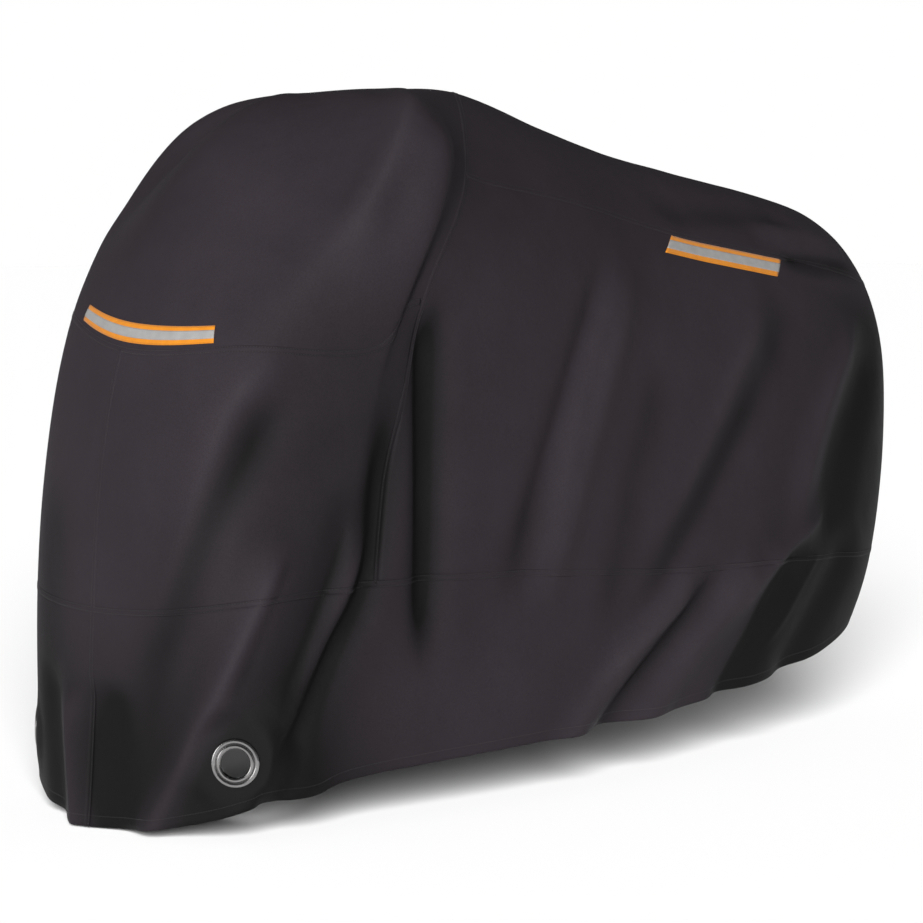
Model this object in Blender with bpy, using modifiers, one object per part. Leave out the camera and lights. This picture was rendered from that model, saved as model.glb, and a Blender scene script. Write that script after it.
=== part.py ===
"""Motorcycle cover: eight sewn cloth panels, three reflective tapes and two steel lock eyelets.

Metres, +Z up. X runs along the machine with its front at -X, and its left side is at -Y.
The origin is under the top of the cover, where the machine carries it.
The cloth hangs over a machine that is not part of the model, so the shell is hollow and open below.
"""
import math
from collections import namedtuple

import bmesh
import bpy
import numpy as np
from mathutils import Matrix, Vector

# ---------------------------------------------------------------- driving sizes
TOP_HEIGHT = 1.29             # of the carrying point, on the scale of the section table
CLOTH = 0.0014                # thickness of the coated cloth
SEAM_INSET = 0.0009           # each panel stops this far short of its seam line
TAPE = 0.001                  # thickness of a reflective tape
TAPE_GAP = 0.0006             # between a tape and what it is sewn to
ORANGE_SHARE = (0.03, 0.97)   # the orange tape, across the band that it is sewn in
SILVER_SHARE = (0.27, 0.73)   # the silver centre of a tape, across the same band

EYELET_HOLE = 0.0255          # radius of the open hole
EYELET_BARREL = 0.0267        # radius of the barrel's outer side
EYELET_FACE = 0.043           # radius of the face ring
EYELET_WASHER = 0.040         # radius of the washer inside the cover
INNER_BEAD = 0.004            # radius of the rolled bead round the hole
OUTER_BEAD = 0.0036           # radius of the rolled rim of the face ring
RIM_WIDTH = 0.004             # from the middle of the rim's bead to its edge
WASHER_PLATE = 0.0016         # thickness of the washer
WASHER_CHAMFER = 0.002        # width of its sloped edge
BARREL_REACH = 0.0035         # the barrel goes this far past the inner side of the cloth
CUT_RADIUS = 0.0272           # radius of the hole in the cloth
CUT_DEPTH = 0.06              # length of the tool that cuts it
EYELET_FLAT = 0.060           # the cloth lies flat to this radius
EYELET_BLEND = 0.100          # and meets the drape again at this one
FIT = 0.0004                  # clearance between the steel and the cloth

STEPS = 6                     # grid steps between two sections
EYELET_SEGMENTS = 24
FOLD_STEPS = 24               # straight pieces along the path of a fold
NORMAL_STEP = 0.02            # in sections, over which a slope of the drape is measured
RIDGE_WELD = 0.004            # the two sides of a panel that crosses the ridge are joined there

# A row for each cross section, from the front centre round the left side to the rear centre.
# Columns: ridge (x, z), then crown, shoulder, waist and hem as (x, half width, z). The heights
# start 12 mm above the ground that the cover stands over.
Section = namedtuple("Section", "name ridge crown shoulder waist hem")
SECTIONS = (
    Section("front centre", (-0.410, 1.286), (-0.620, 0.000, 1.175), (-0.805, 0.000, 0.830),
            (-0.870, 0.000, 0.375), (-0.885, 0.000, -0.008)),
    Section("front quarter", (-0.396, 1.287), (-0.550, 0.205, 1.140), (-0.765, 0.235, 0.835),
            (-0.825, 0.235, 0.390), (-0.820, 0.230, 0.020)),
    Section("lamp corner", (-0.352, 1.289), (-0.455, 0.325, 1.210), (-0.650, 0.320, 0.830),
            (-0.700, 0.325, 0.410), (-0.745, 0.325, 0.055)),
    Section("handlebar", (-0.230, 1.295), (-0.360, 0.365, 1.205), (-0.505, 0.370, 0.845),
            (-0.600, 0.345, 0.415), (-0.630, 0.325, 0.060)),
    Section("cross seam", (-0.020, 1.300), (-0.260, 0.300, 1.138), (-0.417, 0.365, 0.913),
            (-0.505, 0.350, 0.420), (-0.530, 0.325, 0.080)),
    Section("tank", (0.190, 1.240), (0.015, 0.260, 1.098), (-0.090, 0.350, 0.805),
            (-0.165, 0.360, 0.415), (-0.205, 0.345, 0.095)),
    Section("seat", (0.440, 1.175), (0.333, 0.214, 1.037), (0.260, 0.320, 0.765),
            (0.215, 0.355, 0.390), (0.180, 0.320, 0.110)),
    Section("pillion", (0.725, 1.125), (0.640, 0.195, 0.990), (0.610, 0.280, 0.720),
            (0.600, 0.310, 0.380), (0.560, 0.285, 0.140)),
    Section("tail side", (0.925, 1.085), (0.900, 0.160, 0.955), (0.910, 0.220, 0.685),
            (0.880, 0.240, 0.365), (0.830, 0.225, 0.185)),
    Section("tail corner", (0.983, 1.055), (1.070, 0.095, 0.925), (1.105, 0.125, 0.660),
            (1.055, 0.135, 0.360), (0.985, 0.135, 0.230)),
    Section("rear centre", (1.000, 1.050), (1.130, 0.000, 0.915), (1.185, 0.000, 0.645),
            (1.120, 0.000, 0.360), (1.020, 0.000, 0.260)),
)
# The cover hangs unevenly: the shoulder seam sits higher on the right of the front.
RIGHT_SHOULDERS = {
    "front quarter": (-0.740, 0.238, 0.880),
    "lamp corner": (-0.635, 0.328, 0.870),
    "handlebar": (-0.500, 0.374, 0.865),
}
RIDGE, CROWN, SHOULDER, WAIST, HEM = 0.0, 0.20, 0.45, 0.75, 1.0
LEVELS = np.array([RIDGE, CROWN, SHOULDER, WAIST, HEM])

# Going round the cover is counted in sections: 0 at the front centre, then the left side,
# REAR at the rear centre, and the right side back to LOOP, which is the front centre again.
REAR = len(SECTIONS) - 1
LOOP = 2 * REAR
CROSS = 4                     # the section that the cross seam follows

# A row for each fold. The path goes through (section, level) points. A height above zero is a
# ridge and below zero a trough. The fold is wide_a on the side towards the front and wide_b behind.
Fold = namedtuple("Fold", "name path height wide_a wide_b")
FOLDS = (
    Fold("handlebar ridge", ((3.3, 0.03), (2.55, 0.14), (2.10, 0.23), (1.95, 0.29), (1.88, 0.37)),
         0.012, 0.048, 0.036),
    Fold("behind the handlebar", ((3.7, 0.05), (2.75, 0.17), (2.35, 0.24), (2.2, 0.36)),
         -0.009, 0.034, 0.040),
    Fold("nose ridge", ((1.86, 0.44), (1.25, 0.54), (0.90, 0.66), (0.48, 0.81)),
         0.014, 0.065, 0.040),
    Fold("behind the nose", ((2.0, 0.48), (1.5, 0.58), (1.04, 0.68), (0.66, 0.83)),
         -0.014, 0.040, 0.060),
    Fold("eyelet ridge", ((2.14, 0.66), (1.56, 0.78), (1.08, 0.885), (0.60, 1.0)),
         0.018, 0.036, 0.034),
    Fold("under the cross seam", ((4.08, 0.44), (4.24, 0.56), (4.36, 0.70), (4.44, 0.88)),
         -0.028, 0.042, 0.034),
    Fold("cross seam trough", ((3.82, 0.54), (3.92, 0.64), (3.84, 0.745), (3.52, 0.80),
         (2.76, 0.87), (2.10, 1.0)), -0.026, 0.034, 0.036),
    Fold("knee ridge", ((3.88, 0.65), (3.45, 0.745), (2.78, 0.81), (2.38, 0.885), (1.84, 0.975)),
         0.014, 0.034, 0.034),
    Fold("ahead of the knee", ((3.2, 0.60), (2.85, 0.72), (2.42, 0.81), (1.98, 0.92)),
         -0.012, 0.036, 0.034),
    Fold("tank trough", ((5.45, 0.25), (5.22, 0.44), (5.06, 0.62), (4.92, 0.82)),
         -0.018, 0.050, 0.038),
    Fold("tank ridge", ((5.65, 0.26), (5.44, 0.44), (5.26, 0.62), (5.10, 0.84)),
         0.012, 0.040, 0.060),
    Fold("seat trough", ((6.0, 0.42), (5.8, 0.56), (5.68, 0.70), (5.6, 0.88)),
         -0.010, 0.050, 0.045),
    Fold("pillion ridge", ((7.0, 0.27), (6.6, 0.44), (6.2, 0.60), (5.8, 0.76)),
         0.012, 0.065, 0.048),
    Fold("pillion trough", ((7.25, 0.26), (6.82, 0.43), (6.28, 0.61), (5.85, 0.78)),
         -0.018, 0.045, 0.055),
    Fold("tail edge", ((8.3, 0.26), (7.62, 0.43), (7.2, 0.58), (6.95, 0.74)), 0.016, 0.060, 0.045),
    Fold("tail hollow", ((8.6, 0.30), (8.0, 0.46), (7.65, 0.60), (7.5, 0.76)),
         -0.022, 0.055, 0.080),
    Fold("tail shelf", ((6.9, 0.15), (7.8, 0.14), (8.6, 0.14)), 0.009, 0.034, 0.034),
    Fold("low tail ridge", ((7.62, 0.62), (7.10, 0.70), (6.72, 0.78), (6.36, 0.89)),
         0.014, 0.034, 0.034),
    Fold("low tail trough", ((7.25, 0.72), (6.95, 0.80), (6.80, 0.885), (6.62, 1.0)),
         -0.018, 0.040, 0.036),
    Fold("low corner", ((8.0, 0.68), (7.55, 0.84), (7.25, 1.0)), -0.018, 0.045, 0.050),
    Fold("low ridge", ((6.3, 0.72), (5.95, 0.83), (5.70, 0.92), (5.42, 1.02)), 0.016, 0.045, 0.040),
    Fold("low trough", ((6.5, 0.75), (6.18, 0.84), (5.94, 0.92), (5.66, 1.02)),
         -0.020, 0.036, 0.036),
    Fold("low rear ridge", ((6.75, 0.73), (6.5, 0.80), (6.28, 0.90), (6.0, 1.02)),
         0.014, 0.036, 0.040),
    Fold("seat edge", ((5.9, 0.17), (6.8, 0.125), (7.7, 0.10)), -0.010, 0.036, 0.036),
    Fold("front hem ridge", ((19.76, 0.83), (19.82, 0.92), (19.90, 1.02)), 0.014, 0.036, 0.036),
    Fold("right of the front", ((19.40, 0.81), (19.46, 0.92), (19.52, 1.02)), -0.014, 0.040, 0.036),
    Fold("left of the front", ((0.20, 0.82), (0.22, 0.91), (0.26, 1.02)), -0.018, 0.050, 0.060),
    Fold("right handlebar", ((16.9, 0.10), (17.8, 0.22), (18.1, 0.38)), -0.014, 0.045, 0.045),
    Fold("right cross trough", ((16.0, 0.46), (15.8, 0.62), (15.7, 0.86)), -0.026, 0.040, 0.038),
    Fold("right knee", ((16.2, 0.62), (16.7, 0.78), (17.4, 0.94)), -0.018, 0.042, 0.040),
    Fold("right tank", ((14.7, 0.26), (14.9, 0.52), (15.1, 0.86)), -0.016, 0.050, 0.050),
    Fold("right seat", ((13.4, 0.30), (13.9, 0.56), (14.3, 0.84)), -0.016, 0.055, 0.050),
    Fold("right tail", ((11.9, 0.30), (12.5, 0.58), (13.2, 0.94)), -0.018, 0.055, 0.055),
    Fold("right low", ((13.1, 0.72), (13.8, 0.88), (14.4, 1.02)), 0.016, 0.045, 0.045),
    Fold("rear centre fold", ((10.5, 0.30), (10.4, 0.60), (10.3, 0.96)), -0.012, 0.050, 0.050),
)
FADE = 0.22                   # share of a fold's length over which each end dies away

# The lock eyelets, as (section, level) on each side.
EYELET_PLACES = {"left": (1.45, 0.937), "right": (LOOP - 1.45, 0.937)}

# Grid lines down each panel, as levels. The tapes' edges are grid lines.
HOOD_LEVELS = (0.0, 0.04, 0.08, 0.12, 0.16, 0.20, 0.24, 0.28, 0.325, 0.37, 0.418, 0.442, 0.45)
TOP_LEVELS = (0.0, 0.05, 0.10, 0.15, 0.20)
FRONT_LEVELS = (0.45, 0.49, 0.53, 0.57, 0.61, 0.65, 0.70, 0.75)
SIDE_LEVELS = (0.20, 0.205, 0.243, 0.285, 0.33, 0.39, 0.45, 0.51, 0.57, 0.63, 0.69, 0.75)
BAND_LEVELS = (0.75, 0.785, 0.82, 0.85, 0.88, 0.91, 0.94, 0.97, 1.0)

FRONT_TAPE = {"first": -4, "last": 5, "levels": (0.418, 0.442)}        # ends in grid steps
REAR_TAPE = {"first": 36, "last": 43, "levels": (0.205, 0.243)}


# ---------------------------------------------------------------- smooth shapes
def section_points(row, shoulder, side):
    """The five guide points of one section; side is -1 on the left and 1 on the right."""
    below = (row.crown, shoulder, row.waist, row.hem)
    points = [(row.ridge[0], 0.0, row.ridge[1])]
    points += [(x, side * half, z) for x, half, z in below]
    return points


def guide_points():
    """The guide points of every section, all the way round: (LOOP, 5, 3)."""
    left = [section_points(row, row.shoulder, -1.0) for row in SECTIONS]
    right = []
    for row in SECTIONS[-2:0:-1]:
        shoulder = RIGHT_SHOULDERS.get(row.name, row.shoulder)
        right.append(section_points(row, shoulder, 1.0))
    return np.array(left + right)


def closed_spline(knots, at):
    """Cubic spline through evenly spaced knots on a closed loop."""
    count = len(knots)
    system = 4.0 * np.eye(count) + np.roll(np.eye(count), 1, 0) + np.roll(np.eye(count), -1, 0)
    bend = 6.0 * (np.roll(knots, -1, 0) - 2.0 * knots + np.roll(knots, 1, 0))
    second = np.linalg.solve(system, bend.reshape(count, -1)).reshape(knots.shape)
    at = np.mod(np.asarray(at, float), count)
    low = np.floor(at).astype(int) % count
    high = (low + 1) % count
    share = (at - np.floor(at)).reshape((-1,) + (1,) * (knots.ndim - 1))
    rest = 1.0 - share
    straight = rest * knots[low] + share * knots[high]
    return straight + ((rest ** 3 - rest) * second[low] + (share ** 3 - share) * second[high]) / 6.0


def open_spline(places, knots, at):
    """Natural cubic spline along the second last axis of knots."""
    count = len(places)
    gaps = np.diff(places)
    system = np.eye(count)
    load = np.zeros((count, count))
    for i in range(1, count - 1):
        system[i, i - 1:i + 2] = gaps[i - 1], 2.0 * (gaps[i - 1] + gaps[i]), gaps[i]
        load[i, i - 1:i + 2] = 6.0 / gaps[i - 1], -6.0 / gaps[i - 1] - 6.0 / gaps[i], 6.0 / gaps[i]
    second = np.einsum("ij,...jk->...ik", np.linalg.solve(system, load), knots)
    at = np.asarray(at, float)
    low = np.clip(np.searchsorted(places, at, side="right") - 1, 0, count - 2)
    gap = gaps[low][:, None]
    rest = (places[low + 1] - at)[:, None] / gap
    share = 1.0 - rest
    straight = rest * knots[..., low, :] + share * knots[..., low + 1, :]
    curve = (rest ** 3 - rest) * second[..., low, :] + (share ** 3 - share) * second[..., low + 1, :]
    return straight + curve * gap ** 2 / 6.0


GUIDES = guide_points()


def drape(sections, levels):
    """The cover without its folds: a grid of points, sections by levels."""
    guide = closed_spline(GUIDES, sections)
    ridge = guide[:, 0]
    crown = guide[:, 1]
    # The spline goes on over the ridge to the crown's opposite, so the top is smooth.
    across = crown.copy()
    across[:, :2] = 2.0 * ridge[:, :2] - crown[:, :2]
    knots = np.concatenate([across[:, None], guide], axis=1)
    places = np.concatenate([[-CROWN], LEVELS])
    return open_spline(places, knots, levels)


def drape_normals(sections, levels):
    """Outward unit normals of the smooth drape."""
    level_step = NORMAL_STEP / 4
    sections = np.asarray(sections, float)
    inner = np.maximum(levels, 2 * level_step)
    along = drape(sections + NORMAL_STEP, inner) - drape(sections - NORMAL_STEP, inner)
    down = drape(sections, inner + level_step) - drape(sections, inner - level_step)
    normal = np.cross(down, along)
    return normal / np.linalg.norm(normal, axis=-1, keepdims=True)


def fold_path(fold):
    """Points along a fold on the smooth drape, and the normals there."""
    stops = np.array(fold.path)
    order = np.linspace(0.0, 1.0, len(stops))
    track = open_spline(order, stops, np.linspace(0.0, 1.0, FOLD_STEPS + 1))
    points = np.array([drape([s], [t])[0, 0] for s, t in track])
    normals = np.array([drape_normals([s], [min(t, HEM)])[0, 0] for s, t in track])
    return points, normals


def smooth_step(value):
    value = np.clip(value, 0.0, 1.0)
    return value * value * (3.0 - 2.0 * value)


def fold_height(points):
    """How far the folds lift each point off the smooth drape."""
    flat = points.reshape(-1, 3)
    lift = np.zeros(len(flat))
    for fold in FOLDS:
        path, normals = fold_path(fold)
        start = path[:-1]
        run = path[1:] - start
        reach = flat[:, None] - start[None]
        share = np.clip((reach * run).sum(-1) / (run * run).sum(-1), 0.0, 1.0)
        off = reach - share[..., None] * run
        distance = np.linalg.norm(off, axis=-1)
        nearest = distance.argmin(1)
        rows = np.arange(len(flat))
        gap = distance[rows, nearest]
        length = (nearest + share[rows, nearest]) / len(start)
        ahead = np.cross(normals[nearest], run[nearest])
        side = (ahead * off[rows, nearest]).sum(-1)
        width = np.where(side > 0.0, fold.wide_a, fold.wide_b)
        fade = smooth_step(length / FADE)
        if fold.path[-1][1] < HEM:
            fade = fade * smooth_step((1.0 - length) / FADE)
        lift += fold.height * fade * np.exp(-(gap / width) ** 2)
    return lift.reshape(points.shape[:-1])


def to_frame(points):
    """From the section table's heights to the part's own frame."""
    return points - (0.0, 0.0, TOP_HEIGHT)


def eyelet_plane(side):
    """Centre and outward normal of an eyelet, in the part's frame."""
    section, level = EYELET_PLACES[side]
    centre = to_frame(drape([section], [level])[0, 0])
    normal = drape_normals([section], [level])[0, 0]
    return Vector(centre), Vector(normal)


# ---------------------------------------------------------------- scene helpers
def clear_scene():
    for old in list(bpy.data.objects):
        bpy.data.objects.remove(old, do_unlink=True)


def new_collection(name):
    collection = bpy.data.collections.new(name)
    bpy.context.scene.collection.children.link(collection)
    return collection


def new_material(name, color, roughness, metallic=0.0):
    material = bpy.data.materials.new(name)
    material.use_nodes = True
    shader = material.node_tree.nodes["Principled BSDF"]
    shader.inputs["Base Color"].default_value = (*color, 1.0)
    shader.inputs["Roughness"].default_value = roughness
    shader.inputs["Metallic"].default_value = metallic
    return material


def new_object(name, mesh, collection, material):
    obj = bpy.data.objects.new(name, mesh)
    mesh.materials.append(material)
    collection.objects.link(obj)
    return obj


def grid_mesh(points, welded_ridge=False):
    """A sheet of quads through a grid of points, facing outwards."""
    sheet = bmesh.new()
    rows = [[sheet.verts.new(point) for point in line] for line in points]
    for i in range(len(rows) - 1):
        for j in range(len(rows[0]) - 1):
            sheet.faces.new((rows[i][j], rows[i][j + 1], rows[i + 1][j + 1], rows[i + 1][j]))
    if welded_ridge:
        ridge = [line[0] for line in rows]
        bmesh.ops.remove_doubles(sheet, verts=ridge, dist=RIDGE_WELD)
    return sheet


def pull_in(points, edges):
    """Draw the named edges of a grid in by the seam inset."""
    moved = points.copy()
    pairs = {"first": ((0,), (1,)), "last": ((-1,), (-2,)),
             "top": ((slice(None), 0), (slice(None), 1)),
             "bottom": ((slice(None), -1), (slice(None), -2))}
    for edge in edges:
        rim, inside = pairs[edge]
        inward = moved[inside] - moved[rim]
        inward /= np.linalg.norm(inward, axis=-1, keepdims=True)
        moved[rim] = moved[rim] + SEAM_INSET * inward
    return moved


def panel_points(first, last, levels):
    """Grid of a panel between two section lines, with its folds."""
    sections = np.linspace(first, last, round((last - first) * STEPS) + 1)
    base = drape(sections, levels)
    lift = fold_height(base)
    return base + lift[..., None] * drape_normals(sections, levels)


def thicken(obj, thickness, offset):
    shell = obj.modifiers.new("Thickness", "SOLIDIFY")
    shell.thickness = thickness
    shell.offset = offset


def finish_mesh(name, sheet):
    mesh = bpy.data.meshes.new(name)
    sheet.to_mesh(mesh)
    sheet.free()
    mesh.shade_smooth()
    return mesh


# ---------------------------------------------------------------- cloth panels
def flatten_for_eyelet(sheet, side):
    """Let the cloth lie flat where the steel grips it."""
    centre, normal = eyelet_plane(side)
    near = [edge for edge in sheet.edges
            if min((vert.co - centre).length for vert in edge.verts) < EYELET_BLEND]
    bmesh.ops.subdivide_edges(sheet, edges=near, cuts=1, use_grid_fill=True)
    for vert in sheet.verts:
        offset = vert.co - centre
        height = offset.dot(normal)
        radius = (offset - height * normal).length
        if radius < EYELET_BLEND and abs(height) < EYELET_BLEND:
            flat = 1.0 - smooth_step((radius - EYELET_FLAT) / (EYELET_BLEND - EYELET_FLAT))
            vert.co -= normal * height * float(flat)


def cloth_panel(name, first, last, levels, seams, collection, material, eyelet=None):
    points = to_frame(pull_in(panel_points(first, last, levels), seams))
    sheet = grid_mesh(points, welded_ridge=levels[0] == RIDGE)
    if eyelet:
        flatten_for_eyelet(sheet, eyelet)
    bmesh.ops.triangulate(sheet, faces=sheet.faces)
    panel = new_object(name, finish_mesh(name, sheet), collection, material)
    thicken(panel, CLOTH, -1.0)
    return panel


def eyelet_hole(panel, side, cutters):
    """Cut the hole for the eyelet's barrel."""
    centre, normal = eyelet_plane(side)
    tool = bmesh.new()
    turn = normal.to_track_quat("Z", "Y").to_matrix().to_4x4()
    place = Matrix.Translation(centre) @ turn
    bmesh.ops.create_cone(tool, cap_ends=True, segments=EYELET_SEGMENTS, radius1=CUT_RADIUS,
                          radius2=CUT_RADIUS, depth=CUT_DEPTH, matrix=place)
    mesh = bpy.data.meshes.new("cut_" + panel.name)
    tool.to_mesh(mesh)
    tool.free()
    cutter = bpy.data.objects.new("cut_" + panel.name, mesh)
    cutter.hide_render = True
    cutter.display_type = "WIRE"
    cutters.objects.link(cutter)
    cut = panel.modifiers.new("Eyelet hole", "BOOLEAN")
    cut.operation = "DIFFERENCE"
    cut.object = cutter


# ---------------------------------------------------------------- reflective tapes
def tape_points(first, last, edges, share, height):
    """A band over the panel's own grid, so that it follows the cloth under it."""
    sections = np.arange(first, last + 1) / STEPS
    base = drape(sections, edges)
    normals = drape_normals(sections, edges)
    cloth = base + fold_height(base)[..., None] * normals
    low, high = cloth[:, :1], cloth[:, 1:]
    band = np.concatenate([low + (high - low) * part for part in share], axis=1)
    outward = normals.mean(1, keepdims=True)
    outward /= np.linalg.norm(outward, axis=-1, keepdims=True)
    return to_frame(band + height * outward)


def tape(name, place, mirrored, share, height, collection, material):
    first, last = place["first"], place["last"]
    if mirrored:
        first, last = LOOP * STEPS - last, LOOP * STEPS - first
    points = tape_points(first, last, place["levels"], share, height)
    sheet = grid_mesh(points)
    strip = new_object(name, finish_mesh(name, sheet), collection, material)
    thicken(strip, TAPE, 1.0)


def reflective_tape(name, place, mirrored, collection, orange, silver):
    """An orange tape with a silver centre laid on it."""
    on_orange = 2 * TAPE_GAP + TAPE
    tape(name + "_orange", place, mirrored, ORANGE_SHARE, TAPE_GAP, collection, orange)
    tape(name + "_silver", place, mirrored, SILVER_SHARE, on_orange, collection, silver)


# ---------------------------------------------------------------- steel eyelets
def bead(centre, radius, base, start, end, count):
    """Points of a rolled bead in a turned profile."""
    angles = np.radians(np.linspace(start, end, count))
    return [(centre + radius * math.cos(a), base + radius * math.sin(a)) for a in angles]


def face_ring_profile():
    """Closed outline of the face ring and its barrel, as (radius, height)."""
    inner = bead(EYELET_HOLE + INNER_BEAD, INNER_BEAD, 4 * FIT, 180.0, 30.0, 5)
    outer = bead(EYELET_FACE - RIM_WIDTH, OUTER_BEAD, 3 * FIT, 150.0, 0.0, 5)
    under = [(EYELET_FACE - RIM_WIDTH / 4, FIT), (EYELET_BARREL, FIT)]
    end = -CLOTH - BARREL_REACH
    barrel = [(EYELET_BARREL, end), (EYELET_HOLE, end)]
    return inner + outer + under + barrel


def washer_profile():
    """Closed outline of the washer, with a sloped edge."""
    top = -CLOTH - FIT
    bottom = top - WASHER_PLATE
    inner = EYELET_BARREL + FIT
    flat = EYELET_WASHER - WASHER_CHAMFER
    return [(inner, top), (flat, top), (EYELET_WASHER, (top + bottom) / 2), (flat, bottom),
            (inner, bottom)]


def turned_ring(name, profile, side, collection, material):
    """Turn a closed profile about the eyelet's axis."""
    mesh = bpy.data.meshes.new(name)
    count = len(profile)
    verts = [(radius, 0.0, height) for radius, height in profile]
    mesh.from_pydata(verts, [(i, (i + 1) % count) for i in range(count)], [])
    ring = new_object(name, mesh, collection, material)
    turn = ring.modifiers.new("Turn", "SCREW")
    turn.angle = 2.0 * math.pi
    turn.steps = EYELET_SEGMENTS
    turn.render_steps = EYELET_SEGMENTS
    turn.use_merge_vertices = True
    turn.merge_threshold = 1e-5
    centre, normal = eyelet_plane(side)
    ring.location = centre
    ring.rotation_mode = "QUATERNION"
    ring.rotation_quaternion = normal.to_track_quat("Z", "Y")


# ---------------------------------------------------------------- the cover
def build():
    clear_scene()
    cover = new_collection("motorcycle_cover")
    cutters = new_collection("cutters")
    cloth = new_material("black_cloth", (0.040, 0.034, 0.038), 0.62)
    orange = new_material("orange_tape", (0.87, 0.31, 0.02), 0.5)
    silver = new_material("silver_tape", (0.42, 0.42, 0.44), 0.35)
    steel = new_material("steel", (0.60, 0.60, 0.60), 0.22, 1.0)

    cloth_panel("hood", -CROSS, CROSS, HOOD_LEVELS, ("first", "last", "bottom"), cover, cloth)
    cloth_panel("top_panel", CROSS, LOOP - CROSS, TOP_LEVELS, ("first", "last", "bottom"), cover, cloth)
    all_seams = ("first", "last", "top", "bottom")
    cloth_panel("front_left", 0, CROSS, FRONT_LEVELS, all_seams, cover, cloth)
    cloth_panel("front_right", LOOP - CROSS, LOOP, FRONT_LEVELS, all_seams, cover, cloth)
    cloth_panel("side_left", CROSS, REAR, SIDE_LEVELS, all_seams, cover, cloth)
    cloth_panel("side_right", REAR, LOOP - CROSS, SIDE_LEVELS, all_seams, cover, cloth)
    band_seams = ("first", "last", "top")
    spans = {"left": (0, REAR), "right": (REAR, LOOP)}
    for side, (first, last) in spans.items():
        band = cloth_panel("band_" + side, first, last, BAND_LEVELS, band_seams, cover, cloth,
                           eyelet=side)
        eyelet_hole(band, side, cutters)
        turned_ring("eyelet_face_" + side, face_ring_profile(), side, cover, steel)
        turned_ring("eyelet_washer_" + side, washer_profile(), side, cover, steel)

    reflective_tape("front_tape", FRONT_TAPE, False, cover, orange, silver)
    reflective_tape("rear_tape_left", REAR_TAPE, False, cover, orange, silver)
    reflective_tape("rear_tape_right", REAR_TAPE, True, cover, orange, silver)


build()
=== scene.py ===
# %% [markdown]
# # A fitted motorcycle cover, dressed in Blender
#
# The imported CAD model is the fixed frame: eight sewn cloth panels, three reflective tapes and
# two pairs of steel eyelets. This script gives each of them its finished look. The cloth keeps
# the shape of the machine under it, which isn't part of the object, so the shell stays hollow.
# Metres, +Z up, the front of the cover at -X and its left side at -Y.

import math
from collections import namedtuple

import bmesh
import bpy
import numpy as np
from mathutils import Matrix, Vector, noise


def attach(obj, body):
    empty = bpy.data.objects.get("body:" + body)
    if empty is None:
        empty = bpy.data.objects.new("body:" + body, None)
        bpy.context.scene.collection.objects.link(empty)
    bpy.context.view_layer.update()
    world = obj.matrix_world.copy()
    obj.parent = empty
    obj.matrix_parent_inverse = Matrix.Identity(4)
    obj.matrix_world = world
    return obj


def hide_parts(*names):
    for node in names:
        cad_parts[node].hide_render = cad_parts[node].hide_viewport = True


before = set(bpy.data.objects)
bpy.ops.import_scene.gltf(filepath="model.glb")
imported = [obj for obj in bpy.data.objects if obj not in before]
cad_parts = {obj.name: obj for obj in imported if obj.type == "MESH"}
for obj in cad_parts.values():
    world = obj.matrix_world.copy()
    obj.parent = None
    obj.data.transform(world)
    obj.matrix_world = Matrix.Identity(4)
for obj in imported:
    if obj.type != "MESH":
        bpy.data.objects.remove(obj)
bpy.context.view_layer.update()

# %% [markdown]
# ## The shape of the drape
# A fitted cover is cut to follow a machine, so its drape is described by cross sections, as a
# boat is by its frames. Each row gives five guide points from the ridge on top to the hem.
# Splines through them give a smooth surface. Making it from a table keeps every piece on the
# same surface: panels, seams, tapes and stitches all ask it where they are.

# %% Cross sections of the drape
TOP_HEIGHT = 1.29  # of the carrying point, on the scale of the table

Section = namedtuple("Section", "name ridge crown shoulder waist hem")
# Columns: ridge (x, z), then crown, shoulder, waist and hem as (x, half width, z).
SECTIONS = (
    Section("front centre", (-0.410, 1.286), (-0.620, 0.000, 1.175), (-0.805, 0.000, 0.830),
            (-0.870, 0.000, 0.375), (-0.885, 0.000, -0.008)),
    Section("front quarter", (-0.396, 1.287), (-0.550, 0.205, 1.140), (-0.765, 0.235, 0.835),
            (-0.825, 0.235, 0.390), (-0.820, 0.230, 0.020)),
    Section("lamp corner", (-0.352, 1.289), (-0.455, 0.325, 1.210), (-0.650, 0.320, 0.830),
            (-0.700, 0.325, 0.410), (-0.745, 0.325, 0.055)),
    Section("handlebar", (-0.230, 1.295), (-0.360, 0.365, 1.205), (-0.505, 0.370, 0.845),
            (-0.600, 0.345, 0.415), (-0.630, 0.325, 0.060)),
    Section("cross seam", (-0.020, 1.300), (-0.260, 0.300, 1.138), (-0.417, 0.365, 0.913),
            (-0.505, 0.350, 0.420), (-0.530, 0.325, 0.080)),
    Section("tank", (0.190, 1.240), (0.015, 0.260, 1.098), (-0.090, 0.350, 0.805),
            (-0.165, 0.360, 0.415), (-0.205, 0.345, 0.095)),
    Section("seat", (0.440, 1.175), (0.333, 0.214, 1.037), (0.260, 0.320, 0.765),
            (0.215, 0.355, 0.390), (0.180, 0.320, 0.110)),
    Section("pillion", (0.725, 1.125), (0.640, 0.195, 0.990), (0.610, 0.280, 0.720),
            (0.600, 0.310, 0.380), (0.560, 0.285, 0.140)),
    Section("tail side", (0.925, 1.085), (0.900, 0.160, 0.955), (0.910, 0.220, 0.685),
            (0.880, 0.240, 0.365), (0.830, 0.225, 0.185)),
    Section("tail corner", (0.983, 1.055), (1.070, 0.095, 0.925), (1.105, 0.125, 0.660),
            (1.055, 0.135, 0.360), (0.985, 0.135, 0.230)),
    Section("rear centre", (1.000, 1.050), (1.130, 0.000, 0.915), (1.185, 0.000, 0.645),
            (1.120, 0.000, 0.360), (1.020, 0.000, 0.260)),
)
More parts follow.
